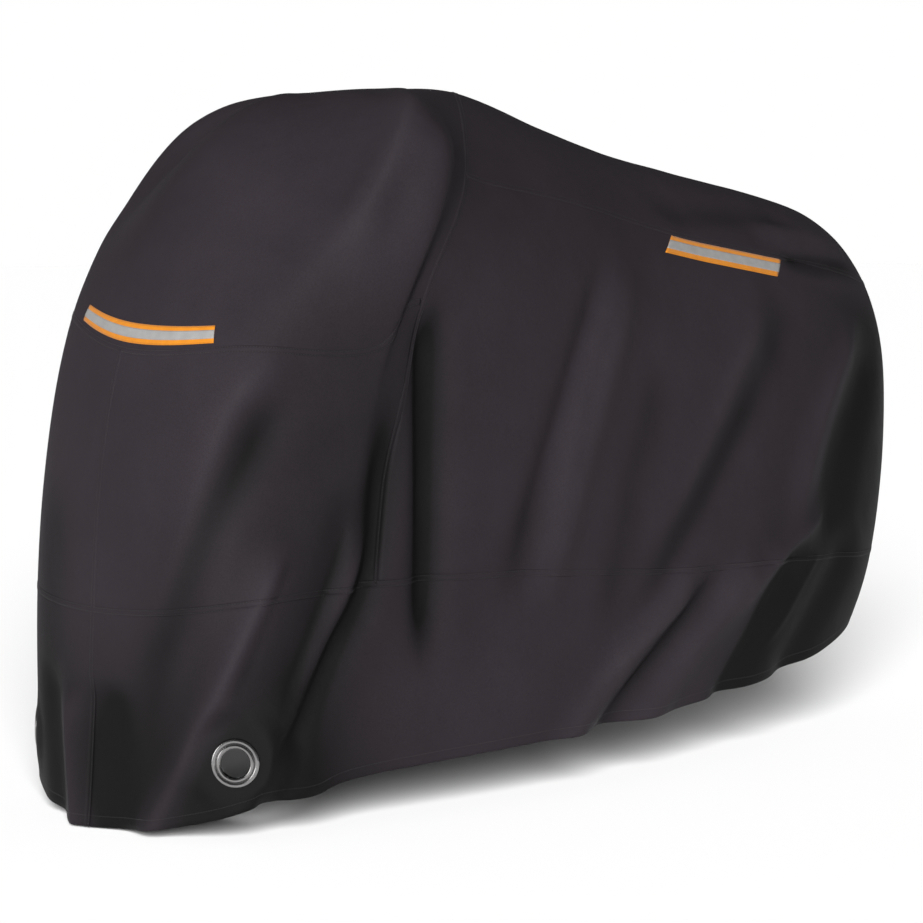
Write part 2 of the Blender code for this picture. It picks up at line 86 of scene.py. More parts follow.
# The cover hangs unevenly: the shoulder seam sits higher on the right of the front.
RIGHT_SHOULDERS = {
    "front quarter": (-0.740, 0.238, 0.880),
    "lamp corner": (-0.635, 0.328, 0.870),
    "handlebar": (-0.500, 0.374, 0.865),
}
RIDGE, CROWN, SHOULDER, WAIST, HEM = 0.0, 0.20, 0.45, 0.75, 1.0
REAR = len(SECTIONS) - 1
LOOP = 2 * REAR
CROSS = 4


def section_points(row, shoulder, side):
    """The five guide points of one section; side is -1 on the left and 1 on the right."""
    points = [(row.ridge[0], 0.0, row.ridge[1])]
    points += [(x, side * half, z) for x, half, z in (row.crown, shoulder, row.waist, row.hem)]
    return points


def guide_points():
    """The guide points of every section, all the way round the cover."""
    left = [section_points(row, row.shoulder, -1.0) for row in SECTIONS]
    right = [section_points(row, RIGHT_SHOULDERS.get(row.name, row.shoulder), 1.0)
             for row in SECTIONS[-2:0:-1]]
    return np.array(left + right) - (0.0, 0.0, TOP_HEIGHT)


GUIDES = guide_points()
print("guide points", GUIDES.shape)

# %% [markdown]
# ## From sections to a surface
# Two splines make the surface. A closed one runs round the cover through the sections, and an
# open one runs down each section from the ridge to the hem. A place on the cloth is then two
# numbers, a section and a level, and `drape` turns many such places into points at once.


# %% The smooth drape
def blend_knots(knots, bends, rest, share, gap=1.0):
    """Cubic between two knots, by what each counts for; bends are the second derivatives."""
    straight = rest * knots[0] + share * knots[1]
    curve = (rest**3 - rest) * bends[0] + (share**3 - share) * bends[1]
    return straight + curve * gap**2 / 6.0


def closed_spline(knots, at):
    """Cubic spline through evenly spaced knots on a closed loop."""
    count = len(knots)
    one = np.eye(count)
    system = 4.0 * one + np.roll(one, 1, 0) + np.roll(one, -1, 0)
    bend = 6.0 * (np.roll(knots, -1, 0) - 2.0 * knots + np.roll(knots, 1, 0))
    second = np.linalg.solve(system, bend.reshape(count, -1)).reshape(knots.shape)
    at = np.mod(at, count)
    low = np.floor(at).astype(int) % count
    high = (low + 1) % count
    share = (at - np.floor(at))[:, None, None]
    return blend_knots((knots[low], knots[high]), (second[low], second[high]), 1.0 - share, share)


def bend_matrix(places):
    """Turns the knots of an open spline, one at each place, into their second derivatives."""
    gaps = np.diff(places)
    system = np.eye(len(places))
    load = np.zeros((len(places), len(places)))
    for i in range(1, len(places) - 1):
        before, after = gaps[i - 1], gaps[i]
        system[i, i - 1:i + 2] = before, 2.0 * (before + after), after
        load[i, i - 1:i + 2] = 6.0 / before, -6.0 / before - 6.0 / after, 6.0 / after
    return np.linalg.solve(system, load)


def find_gap(places, at):
    """For each value of at: the knot before it, the gap's width and the share still to go."""
    low = np.clip(np.searchsorted(places, at, side="right") - 1, 0, len(places) - 2)
    gap = (places[low + 1] - places[low])[:, None]
    return low, gap, (places[low + 1] - at)[:, None] / gap


LEVELS = np.array([-CROWN, RIDGE, CROWN, SHOULDER, WAIST, HEM])
DOWN = bend_matrix(LEVELS)


def drape(section, level):
    """Points of the smooth cover. section and level are arrays of one shape."""
    section, level = np.broadcast_arrays(np.asarray(section, float), np.asarray(level, float))
    guide = closed_spline(GUIDES, section.ravel())
    across = guide[:, 1].copy()
    across[:, :2] = 2.0 * guide[:, 0, :2] - across[:, :2]
    knots = np.concatenate([across[:, None], guide], axis=1)
    second = np.einsum("ij,njk->nik", DOWN, knots)
    low, gap, rest = find_gap(LEVELS, level.ravel())
    row = np.arange(len(low))
    points = blend_knots((knots[row, low], knots[row, low + 1]),
                         (second[row, low], second[row, low + 1]), rest, 1.0 - rest, gap)
    return points.reshape(section.shape + (3,))


def unit(vectors):
    return vectors / np.linalg.norm(vectors, axis=-1, keepdims=True)


def drape_normals(section, level):
    """Outward unit normals of the smooth cover."""
    step = 0.02
    level = np.maximum(level, 0.01)
    along = drape(section + step, level) - drape(section - step, level)
    down = drape(section, level + step / 4) - drape(section, level - step / 4)
    return unit(np.cross(down, along))


def run_length(points):
    """Distance along a line of points, counted from its first."""
    step = np.linalg.norm(np.diff(points, axis=0), axis=1)
    return np.concatenate([[0.0], np.cumsum(step)])


def even_steps(line, values, spacing, fewest=2):
    """The values that belong to evenly spaced places on a line of points."""
    length = run_length(line)
    count = max(fewest, round(length[-1] / spacing)) + 1
    return np.interp(np.linspace(0.0, length[-1], count), length, values)


waist_line = drape(np.linspace(0, LOOP, 400), WAIST)
print("girth at the waist seam", round(float(run_length(waist_line)[-1]), 2), "m")

# %% [markdown]
# ## Folds
# Cloth that hangs from handlebars, tank and seat falls in soft ridges and troughs, which run down and
# forwards from the points that carry it. Each is laid as a path over the drape, with a height and a
# width on either side, so that they are as uneven as real ones.
# A simulation would place them by chance. The first table repeats the folds of the solids, and the
# second adds the sharper creases that ride on them. The third isn't shape: it is painted shade in the
# cloth's colour, so that deep folds, the tucked-in tail and the low front look darker, with one painted
# light that makes the tank trough lighter.

# %% Fold tables
Fold = namedtuple("Fold", "name path height wide_a wide_b")
# A height above zero is a ridge. wide_a is on the side towards the front and wide_b behind.
FOLDS = (
    Fold("handlebar ridge", ((3.3, 0.03), (2.55, 0.14), (2.10, 0.23), (1.95, 0.29), (1.88, 0.37)),
         0.012, 0.048, 0.036),
    Fold("behind the handlebar", ((3.7, 0.05), (2.75, 0.17), (2.35, 0.24), (2.2, 0.36)),
         -0.009, 0.034, 0.040),
    Fold("nose ridge", ((1.86, 0.44), (1.25, 0.54), (0.90, 0.66), (0.48, 0.81)),
         0.014, 0.065, 0.040),
    Fold("behind the nose", ((2.0, 0.48), (1.5, 0.58), (1.04, 0.68), (0.66, 0.83)),
         -0.014, 0.040, 0.060),
    Fold("eyelet ridge", ((2.14, 0.66), (1.56, 0.78), (1.08, 0.885), (0.60, 1.0)),
         0.018, 0.036, 0.034),
    Fold("under the cross seam", ((4.08, 0.44), (4.24, 0.56), (4.36, 0.70), (4.44, 0.88)),
         -0.028, 0.042, 0.034),
    Fold("cross seam trough", ((3.82, 0.54), (3.92, 0.64), (3.84, 0.745), (3.52, 0.80),
         (2.76, 0.87), (2.10, 1.0)), -0.026, 0.034, 0.036),
    Fold("knee ridge", ((3.88, 0.65), (3.45, 0.745), (2.78, 0.81), (2.38, 0.885), (1.84, 0.975)),
         0.014, 0.034, 0.034),
    Fold("ahead of the knee", ((3.2, 0.60), (2.85, 0.72), (2.42, 0.81), (1.98, 0.92)),
         -0.012, 0.036, 0.034),
    Fold("tank trough", ((5.45, 0.25), (5.22, 0.44), (5.06, 0.62), (4.92, 0.82)),
         -0.018, 0.050, 0.038),
    Fold("tank ridge", ((5.65, 0.26), (5.44, 0.44), (5.26, 0.62), (5.10, 0.84)),
         0.012, 0.040, 0.060),
    Fold("seat trough", ((6.0, 0.42), (5.8, 0.56), (5.68, 0.70), (5.6, 0.88)),
         -0.010, 0.050, 0.045),
    Fold("pillion ridge", ((7.0, 0.27), (6.6, 0.44), (6.2, 0.60), (5.8, 0.76)),
         0.012, 0.065, 0.048),
    Fold("pillion trough", ((7.25, 0.26), (6.82, 0.43), (6.28, 0.61), (5.85, 0.78)),
         -0.018, 0.045, 0.055),
    Fold("tail edge", ((8.3, 0.26), (7.62, 0.43), (7.2, 0.58), (6.95, 0.74)), 0.016, 0.060, 0.045),
    Fold("tail hollow", ((8.6, 0.30), (8.0, 0.46), (7.65, 0.60), (7.5, 0.76)),
         -0.022, 0.055, 0.080),
    Fold("tail shelf", ((6.9, 0.15), (7.8, 0.14), (8.6, 0.14)), 0.009, 0.034, 0.034),
    Fold("low tail ridge", ((7.62, 0.62), (7.10, 0.70), (6.72, 0.78), (6.36, 0.89)),
         0.014, 0.034, 0.034),
    Fold("low tail trough", ((7.25, 0.72), (6.95, 0.80), (6.80, 0.885), (6.62, 1.0)),
         -0.018, 0.040, 0.036),
    Fold("low corner", ((8.0, 0.68), (7.55, 0.84), (7.25, 1.0)), -0.018, 0.045, 0.050),
    Fold("low ridge", ((6.3, 0.72), (5.95, 0.83), (5.70, 0.92), (5.42, 1.02)), 0.016, 0.045, 0.040),
    Fold("low trough", ((6.5, 0.75), (6.18, 0.84), (5.94, 0.92), (5.66, 1.02)),
         -0.020, 0.036, 0.036),
    Fold("low rear ridge", ((6.75, 0.73), (6.5, 0.80), (6.28, 0.90), (6.0, 1.02)),
         0.014, 0.036, 0.040),
    Fold("seat edge", ((5.9, 0.17), (6.8, 0.125), (7.7, 0.10)), -0.010, 0.036, 0.036),
    Fold("front hem ridge", ((19.76, 0.83), (19.82, 0.92), (19.90, 1.02)), 0.014, 0.036, 0.036),
    Fold("right of the front", ((19.40, 0.81), (19.46, 0.92), (19.52, 1.02)), -0.014, 0.040, 0.036),
    Fold("left of the front", ((0.20, 0.82), (0.22, 0.91), (0.26, 1.02)), -0.018, 0.050, 0.060),
    Fold("right handlebar", ((16.9, 0.10), (17.8, 0.22), (18.1, 0.38)), -0.014, 0.045, 0.045),
    Fold("right cross trough", ((16.0, 0.46), (15.8, 0.62), (15.7, 0.86)), -0.026, 0.040, 0.038),
    Fold("right knee", ((16.2, 0.62), (16.7, 0.78), (17.4, 0.94)), -0.018, 0.042, 0.040),
    Fold("right tank", ((14.7, 0.26), (14.9, 0.52), (15.1, 0.86)), -0.016, 0.050, 0.050),
    Fold("right seat", ((13.4, 0.30), (13.9, 0.56), (14.3, 0.84)), -0.016, 0.055, 0.050),
    Fold("right tail", ((11.9, 0.30), (12.5, 0.58), (13.2, 0.94)), -0.018, 0.055, 0.055),
    Fold("right low", ((13.1, 0.72), (13.8, 0.88), (14.4, 1.02)), 0.016, 0.045, 0.045),
    Fold("rear centre fold", ((10.5, 0.30), (10.4, 0.60), (10.3, 0.96)), -0.012, 0.050, 0.050),
)
print(len(FOLDS), "folds")

# %% Creases
CREASES = (
    Fold("handlebar crest", ((2.78, 0.105), (2.24, 0.18), (2.05, 0.245), (1.90, 0.33)),
         0.0026, 0.014, 0.008),
    Fold("nose crest", ((1.86, 0.45), (1.44, 0.49), (1.16, 0.575), (0.86, 0.675), (0.48, 0.805)),
         0.0022, 0.026, 0.012),
    Fold("eyelet crest", ((2.1, 0.67), (1.56, 0.78), (1.08, 0.885), (0.62, 1.0)), 0.0030, 0.016, 0.010),
    Fold("beside the eyelet", ((2.14, 0.69), (1.86, 0.745), (1.6, 0.81), (1.36, 0.87)),
         -0.0036, 0.010, 0.013),
    Fold("knee crest", ((3.84, 0.675), (3.46, 0.745), (2.78, 0.81), (2.28, 0.90), (1.84, 0.975)),
         0.0030, 0.012, 0.010),
    Fold("ahead of the crest", ((3.2, 0.66), (2.80, 0.74), (2.42, 0.81), (1.95, 0.93)),
         -0.0036, 0.010, 0.010),
    Fold("behind the crest", ((3.80, 0.60), (3.88, 0.665), (3.80, 0.745), (3.04, 0.835), (2.40, 0.93),
         (2.12, 1.0)), -0.0030, 0.014, 0.016),
    Fold("seam pinch", ((4.08, 0.485), (4.16, 0.55), (4.26, 0.635), (4.34, 0.735)),
         -0.0027, 0.016, 0.010),
    Fold("tank crest", ((5.50, 0.30), (5.32, 0.43), (5.24, 0.52), (5.16, 0.67)), 0.0021, 0.012, 0.022),
    Fold("pillion crest", ((6.9, 0.30), (6.6, 0.42), (6.25, 0.56), (5.95, 0.68)), 0.0024, 0.024, 0.014),
    Fold("tail crest", ((8.0, 0.32), (7.55, 0.44), (7.25, 0.56), (7.0, 0.70)), 0.0024, 0.024, 0.014),
    Fold("shelf crease", ((7.2, 0.205), (7.64, 0.187), (8.5, 0.175)), -0.0048, 0.012, 0.012),
    Fold("low crest", ((6.2, 0.79), (5.85, 0.86), (5.5, 0.94)), 0.0030, 0.014, 0.012),
    Fold("low core", ((6.30, 0.79), (6.14, 0.855), (5.98, 0.905), (5.76, 0.97)), -0.0042, 0.013, 0.013),
    Fold("low tail crest", ((7.44, 0.66), (7.10, 0.70), (6.72, 0.78), (6.54, 0.845)),
         0.0036, 0.012, 0.010),
    Fold("corner crest", ((7.40, 0.73), (7.22, 0.79), (7.06, 0.86), (6.84, 0.94)),
         0.0036, 0.010, 0.010),
    Fold("front hem crest", ((19.77, 0.86), (19.81, 0.92), (19.88, 1.0)), 0.0030, 0.008, 0.010),
)
print(len(CREASES), "creases")

# %% Tones
# Here the height is a change of tone, on a scale where the whole range from painted shade to painted
# highlight is 1. Every row is painted shade, save the tank trough, which is painted light.
PAINTED_SHADING = (
    Fold("tucked tail", ((9.35, 0.20), (8.95, 0.34), (8.6, 0.46), (8.3, 0.58), (8.1, 0.70),
         (7.8, 1.15)), -0.55, 0.24, 0.24),
    Fold("low tail", ((7.4, 0.60), (7.15, 0.74), (6.95, 0.88), (6.75, 1.15)), -0.32, 0.105, 0.105),
    Fold("tail shelf", ((7.05, 0.20), (7.5, 0.21), (8.0, 0.20), (8.8, 0.18)), -0.30, 0.018, 0.022),
    Fold("low front", ((-3.4, 0.96), (-0.7, 0.94), (0.3, 0.94), (1.4, 0.97), (2.9, 1.06)),
         -0.36, 0.19, 0.19),
    Fold("low front edge", ((-0.66, 0.60), (-0.62, 0.84), (-0.60, 1.25)), -0.26, 0.07, 0.07),
    Fold("front quarter", ((2.9, 0.34), (2.7, 0.50), (2.4, 0.66), (2.1, 0.82), (1.9, 1.15)),
         -0.22, 0.205, 0.205),
    Fold("beside the nose", ((1.86, 0.46), (1.50, 0.585), (1.10, 0.655), (0.75, 0.76), (0.50, 0.93)),
         -0.20, 0.030, 0.050),
    Fold("under the seam", ((4.10, 0.40), (4.20, 0.57), (4.32, 0.70), (4.42, 0.90)),
         -0.25, 0.030, 0.016),
    Fold("under the knee", ((3.80, 0.54), (3.86, 0.66), (3.80, 0.745), (3.04, 0.835), (2.40, 0.93),
         (2.12, 1.10)), -0.20, 0.020, 0.026),
    Fold("tank trough", ((5.42, 0.28), (5.24, 0.40), (5.12, 0.53), (5.02, 0.70)), 0.20, 0.030, 0.040),
    Fold("pillion trough", ((6.86, 0.42), (6.56, 0.52), (6.26, 0.62), (5.96, 0.73), (5.7, 0.86)),
         -0.20, 0.030, 0.034),
)
FADE = 0.22  # share of a fold's length over which it rises from nothing
FOLD_REACH = 3.2  # a fold is felt this many widths away
print(len(PAINTED_SHADING), "tones")


# %% How far the folds lift the cloth
def smooth_step(value):
    value = np.clip(value, 0.0, 1.0)
    return value * value * (3.0 - 2.0 * value)


def fold_track(fold, count=41):
    """Points along a fold's path on the drape, with the normals there."""
    stops = np.array(fold.path)
    order = np.linspace(0.0, 1.0, len(stops))
    second = bend_matrix(order) @ stops
    low, gap, rest = find_gap(order, np.linspace(0.0, 1.0, count))
    track = blend_knots((stops[low], stops[low + 1]), (second[low], second[low + 1]),
                        rest, 1.0 - rest, gap)
    section, level = track.T
    return drape(section, level), drape_normals(section, np.minimum(level, 0.99))


def add_fold(fold, points, lift):
    """Adds one fold to lift, for the points that are near enough to feel it."""
    path, normals = fold_track(fold)
    reach = FOLD_REACH * max(fold.wide_a, fold.wide_b)
    near = np.all((points > path.min(0) - reach) & (points < path.max(0) + reach), axis=1)
    if not near.any():
        return
    chosen = points[near]
    start = path[:-1]
    run = path[1:] - start
    away = chosen[:, None] - start[None]
    share = np.clip((away * run).sum(-1) / (run * run).sum(-1), 0.0, 1.0)
    off = away - share[..., None] * run
    distance = np.linalg.norm(off, axis=-1)
    nearest = distance.argmin(1)
    row = np.arange(len(chosen))
    length = (nearest + share[row, nearest]) / len(start)
    ahead = np.cross(normals[nearest], run[nearest])
    side = (ahead * off[row, nearest]).sum(-1)
    width = np.where(side > 0.0, fold.wide_a, fold.wide_b)
    fade = smooth_step(length / FADE)
    if fold.path[-1][1] < 1.0:
        fade = fade * smooth_step((1.0 - length) / FADE)
    lift[near] += fold.height * fade * np.exp(-(distance[row, nearest] / width) ** 2)


def fold_lift(points, table):
    """What all the folds of one table add up to at each point."""
    flat = points.reshape(-1, 3)
    lift = np.zeros(len(flat))
    for fold in table:
        add_fold(fold, flat, lift)
    return lift.reshape(points.shape[:-1])


# %% [markdown]
# ## Slack between the folds
# Thin coated cloth is never quite flat between its folds. Slow noise of a millimetre or two
# gives the broad, faint dents that catch the light. It is laid on the same surface, so that the
# seams and tapes sit on it too.

# %% The finished surface of the cloth
SLACK = ((2.2, 0.0030), (5.5, 0.0013), (13.0, 0.0005))  # (waves per metre, height in metres)
SLACK_STRETCH = np.array([1.0, 1.0, 0.55])  # the dents are longer upwards than sideways
SLACK_START = 7.3  # where in the noise the cover lies
# The fold lift over these ranges sets the tone: painted shade in a trough, a painted highlight on a
# ridge.
FOLD_RANGE, CREASE_RANGE = 0.080, 0.028  # from trough to ridge, the whole range of tone


def slack_lift(points):
    """Uneven dents, from noise that is the same on each run."""
    lift = np.zeros(len(points))
    for waves, height in SLACK:
        places = points * SLACK_STRETCH * waves + SLACK_START
        lift += [height * noise.noise(Vector(place)) for place in places]
    return lift


def cloth(section, level):
    """Points on the outside of the hanging cloth, its outward normals and its tone from 0 to 1, which
    is painted shade and painted highlight for the cloth's colour.
    """
    section, level = np.broadcast_arrays(np.asarray(section, float), np.asarray(level, float))
    base = drape(section, level)
    normals = drape_normals(section, level)
    folds, creases = fold_lift(base, FOLDS), fold_lift(base, CREASES)
    # The tone is painted light and shade: folds and creases paint troughs dark and ridges light, and
    # the third table adds its own painted shade.
    tone = 0.5 + folds / FOLD_RANGE + creases / CREASE_RANGE + fold_lift(base, PAINTED_SHADING)
    lift = folds + creases + slack_lift(base.reshape(-1, 3)).reshape(folds.shape)
    return base + lift[..., None] * normals, normals, np.clip(tone, 0.0, 1.0)


# %% [markdown]
# ## Finishes
# The cloth is a coated polyester: very dark warm grey, and matt. Its colour follows the tone that the
# folds give it, which is painted light and shade: ridges get a painted highlight and troughs painted
# shade. Faint patches of noise keep it from looking printed. The weave is a fine bump along the cloth's
# own UV map, which is in metres, so it turns with each fold.

# %% Node helpers
def new_material(name, base, roughness, metallic=0.0, sheen=0.0, specular=0.5):
    material = bpy.data.materials.new(name)
    material.use_nodes = True
    shader = material.node_tree.nodes["Principled BSDF"]
    shader.inputs["Base Color"].default_value = (*base, 1.0)
    shader.inputs["Roughness"].default_value = roughness
    shader.inputs["Metallic"].default_value = metallic
    shader.inputs["Sheen Weight"].default_value = sheen
    shader.inputs["Specular IOR Level"].default_value = specular
    return material, material.node_tree, shader


def add_node(tree, kind, settings=(), inputs=()):
    node = tree.nodes.new(kind)
    for key, value in dict(settings).items():
        setattr(node, key, value)
    for key, value in dict(inputs).items():
        node.inputs[key].default_value = value
    return node


def noise_node(tree, source, scale, detail=3.0, roughness=0.5):
    node = add_node(tree, "ShaderNodeTexNoise",
                    inputs={"Scale": scale, "Detail": detail, "Roughness": roughness})
    tree.links.new(source, node.inputs["Vector"])
    return node.outputs["Fac"]


def ramp_node(tree, source, stops):
    """Colour ramp; stops are (place, grey or colour)."""
    node = tree.nodes.new("ShaderNodeValToRGB")
    elements = node.color_ramp.elements
    while len(elements) < len(stops):
        elements.new(0.5)
    for element, (place, value) in zip(elements, stops):
        element.position = place
        colour = value if hasattr(value, "__len__") else (value, value, value)
        element.color = (*colour, 1.0)
    tree.links.new(source, node.inputs["Fac"])
    return node.outputs["Color"]


def plug(tree, socket, value):
    """Fill a socket with another socket or with a number."""
    if isinstance(value, bpy.types.NodeSocket):
        tree.links.new(value, socket)
    else:
        socket.default_value = value


def mix_node(tree, blend, factor, a, b):
    """Mixes two colours; each of factor, a and b is a socket or a value."""
    node = add_node(tree, "ShaderNodeMix", {"data_type": "RGBA", "blend_type": blend})
    sockets = {socket.identifier: socket for socket in node.inputs}
    for key, value in (("Factor_Float", factor), ("A_Color", a), ("B_Color", b)):
        plug(tree, sockets[key], value)
    return next(s for s in node.outputs if s.identifier == "Result_Color")


def math_node(tree, operation, a, b):
    node = add_node(tree, "ShaderNodeMath", {"operation": operation})
    for socket, value in zip(node.inputs, (a, b)):
        plug(tree, socket, value)
    return node.outputs[0]


def bump_node(tree, height, strength, distance, normal=None):
    node = add_node(tree, "ShaderNodeBump", inputs={"Strength": strength, "Distance": distance})
    tree.links.new(height, node.inputs["Height"])
    if normal is not None:
        tree.links.new(normal, node.inputs["Normal"])
    return node.outputs["Normal"]


# %% Coated black cloth
BLACK = (0.0285, 0.0236, 0.0284)
# The two colours below are painted: painted shade for the troughs and a painted highlight for the
# ridges.
BLACK_PAINTED_SHADE = (0.0075, 0.0073, 0.0074)
BLACK_PAINTED_HIGHLIGHT = (0.0410, 0.0350, 0.0405)
WEAVE_PITCH = 0.0011


def weave_height(tree, uv, pitch):
    """Over-and-under height of a plain weave on a UV map in metres."""
    split = add_node(tree, "ShaderNodeSeparateXYZ")
    tree.links.new(uv, split.inputs[0])
    waves = []
    for axis in ("X", "Y"):
        turns = math_node(tree, "MULTIPLY", split.outputs[axis], math.tau / pitch)
        waves.append(math_node(tree, "SINE", turns, 0.0))
    return math_node(tree, "MULTIPLY", waves[0], waves[1])


def coated_cloth():
    material, tree, shader = new_material("coated_black_cloth", BLACK, 0.62, specular=0.05)
    where = tree.nodes.new("ShaderNodeTexCoord")
    solid_place = where.outputs["Object"]
    # The tone attribute becomes painted shade in troughs and a painted highlight on ridges in the
    # cloth's colour.
    tone = add_node(tree, "ShaderNodeAttribute", {"attribute_name": "tone"})
    toned = ramp_node(tree, tone.outputs["Fac"],
                      ((0.05, BLACK_PAINTED_SHADE), (0.50, BLACK), (0.95, BLACK_PAINTED_HIGHLIGHT)))
    patches = noise_node(tree, solid_place, 3.0, 4.0, 0.6)
    uneven = ramp_node(tree, patches, ((0.30, 0.86), (0.70, 1.12)))
    fine = noise_node(tree, solid_place, 420.0, 2.0, 0.5)
    speck = ramp_node(tree, fine, ((0.35, 0.90), (0.65, 1.10)))
    colour = mix_node(tree, "MULTIPLY", 1.0, toned, uneven)
    colour = mix_node(tree, "MULTIPLY", 1.0, colour, speck)
    tree.links.new(colour, shader.inputs["Base Color"])
    shine = ramp_node(tree, patches, ((0.25, 0.52), (0.75, 0.66)))
    tree.links.new(shine, shader.inputs["Roughness"])
    crumple = noise_node(tree, solid_place, 9.0, 5.0, 0.55)
    soft = bump_node(tree, crumple, 0.35, 0.010)
    weave = weave_height(tree, where.outputs["UV"], WEAVE_PITCH)
    tree.links.new(bump_node(tree, weave, 0.30, 0.0002, soft), shader.inputs["Normal"])
    return material


CLOTH = coated_cloth()
print(CLOTH.name, "is woven at", 1000 * WEAVE_PITCH, "mm")

# %% Thread, tapes and steel
TAPE_PITCH = 0.0012


def thread_finish(name, colour):
    material, tree, shader = new_material(name, colour, 0.5, sheen=0.1)
    where = tree.nodes.new("ShaderNodeTexCoord")
    twist = noise_node(tree, where.outputs["Object"], 900.0, 2.0)
    tree.links.new(bump_node(tree, twist, 0.5, 0.0003), shader.inputs["Normal"])
    return material


def tape_finish(name, base, edge, roughness, specular, metallic=0.0):
    """Woven tape: fine ribs across it, and a colour that is a little uneven."""
    material, tree, shader = new_material(name, base, roughness, metallic, 0.1, specular)
    where = tree.nodes.new("ShaderNodeTexCoord")
    patches = noise_node(tree, where.outputs["Object"], 60.0, 3.0)
    shades = ramp_node(tree, patches, ((0.3, edge), (0.7, base)))
    tree.links.new(shades, shader.inputs["Base Color"])
    ribs = weave_height(tree, where.outputs["UV"], TAPE_PITCH)
    tree.links.new(bump_node(tree, ribs, 0.35, 0.0002), shader.inputs["Normal"])
    return material


def steel_finish():
    """Plated steel: polished, with faint turning marks and a few dull patches."""
    material, tree, shader = new_material("plated_steel", (0.26, 0.255, 0.255), 0.18, 1.0)
    where = tree.nodes.new("ShaderNodeTexCoord")
    dull = noise_node(tree, where.outputs["Object"], 120.0, 4.0)
    rough = ramp_node(tree, dull, ((0.35, 0.14), (0.75, 0.34)))
    tree.links.new(rough, shader.inputs["Roughness"])
    marks = noise_node(tree, where.outputs["Object"], 700.0, 2.0)
    tree.links.new(bump_node(tree, marks, 0.12, 0.0003), shader.inputs["Normal"])
    return material


THREAD = thread_finish("black_thread", (0.008, 0.007, 0.008))
ORANGE_THREAD = thread_finish("orange_thread", (0.50, 0.15, 0.008))
ORANGE = tape_finish("orange_tape", (0.66, 0.235, 0.012), (0.60, 0.205, 0.010), 0.6, 0.2)
SILVER = tape_finish("silver_tape", (0.32, 0.315, 0.31), (0.28, 0.275, 0.27), 0.5, 0.4)
STEEL = steel_finish()
print("finishes", [finish.name for finish in (THREAD, ORANGE_THREAD, ORANGE, SILVER, STEEL)])

# %% [markdown]
# ## Cloth panels
# Each panel is a grid laid on the finished surface between its own seams, then given the
# thickness of the cloth on its inner side. A grid keeps the UV map in metres, which the weave
# needs, and lets the folds run straight across a seam from one panel to the next.

# %% Panel grids
SPACING = 0.008
CLOTH_THICKNESS = 0.0009
WELD = 0.0012  # points of the ridge that are nearer than this become one


def even_places(first, last, level):
    """Section places that are evenly spaced along the cloth at one level."""
    rough = np.linspace(first, last, 241)
    return even_steps(drape(rough, level), rough, SPACING)


def even_levels(top, bottom, section):
    """Levels that are evenly spaced down the cloth at one section."""
    rough = np.linspace(top, bottom, 121)
    return even_steps(drape(section, rough), rough, SPACING)


def metric_uv(points):
    """Distance round and distance down for each point of a grid."""
    round_way = run_length(points[:, points.shape[1] // 2])
    step = np.linalg.norm(np.diff(points, axis=1), axis=2)
    down_way = np.concatenate([np.zeros((len(points), 1)), np.cumsum(step, axis=1)], axis=1)
    return np.stack([np.broadcast_to(round_way[:, None], down_way.shape), down_way], axis=-1)


def add_object(name, data):
    """Put a mesh, light or camera into the scene."""
    obj = bpy.data.objects.new(name, data)
    bpy.context.scene.collection.objects.link(obj)
    return obj


def grid_object(name, points, material, tone=None, weld_first_row=False):
    """A sheet of quads through a grid of points, with its UV map and its tone."""
    across, down = points.shape[:2]
    index = np.arange(across * down).reshape(across, down)
    faces = np.stack([index[:-1, :-1], index[:-1, 1:], index[1:, 1:], index[1:, :-1]], axis=-1)
    faces = faces.reshape(-1, 4)
    mesh = bpy.data.meshes.new(name)
    mesh.from_pydata(points.reshape(-1, 3).tolist(), [], faces.tolist())
    uv = metric_uv(points).reshape(-1, 2)[faces.ravel()]
    mesh.uv_layers.new(name="cut").data.foreach_set("uv", uv.ravel())
    values = np.full(across * down, 0.5) if tone is None else tone.ravel()
    mesh.attributes.new("tone", "FLOAT", "POINT").data.foreach_set("value", values)
    if weld_first_row:
        sheet = bmesh.new()
        sheet.from_mesh(mesh)
        sheet.verts.ensure_lookup_table()
        ridge = [sheet.verts[i] for i in index[:, 0]]
        bmesh.ops.remove_doubles(sheet, verts=ridge, dist=WELD)
        sheet.to_mesh(mesh)
        sheet.free()
    mesh.materials.append(material)
    mesh.shade_smooth()
    return add_object(name, mesh)


def settle(obj):
    """Apply every modifier, so that the object is one plain mesh."""
    graph = bpy.context.evaluated_depsgraph_get()
    mesh = bpy.data.meshes.new_from_object(obj.evaluated_get(graph), depsgraph=graph)
    obj.modifiers.clear()
    obj.data = mesh
    return obj


def thicken(obj, thickness):
    """Give a sheet its thickness on the inner side."""
    shell = obj.modifiers.new("Thickness", "SOLIDIFY")
    shell.thickness = thickness
    shell.offset = -1.0
    return settle(obj)


# %% [markdown]
# ## Lock eyelets
# A steel eyelet is two turned rings that grip the cloth: a face ring with rolled edges outside
# and a washer inside. A lock cable goes through both. The cloth lies flat under them, so the
# surface is pressed flat there and meets the drape again a little further out.

# %% Where the eyelets sit
EYELET_HOLE = 0.0255  # this and the next three are radii of the steel
EYELET_BARREL = 0.0267
EYELET_FACE = 0.043
EYELET_WASHER = 0.040
CUT_RADIUS = 0.0272  # of the hole in the cloth
EYELET_FLAT = 0.060  # the cloth is flat out to this radius
EYELET_BLEND = 0.100  # and back on its drape at this one
FIT = 0.0004
EYELET_PLACES = {"left": (1.45, 0.937), "right": (LOOP - 1.45, 0.937)}


def eyelet_plane(side):
    """Centre and outward normal of an eyelet."""
    section, level = (np.array([value]) for value in EYELET_PLACES[side])
    return drape(section, level)[0], drape_normals(section, level)[0]


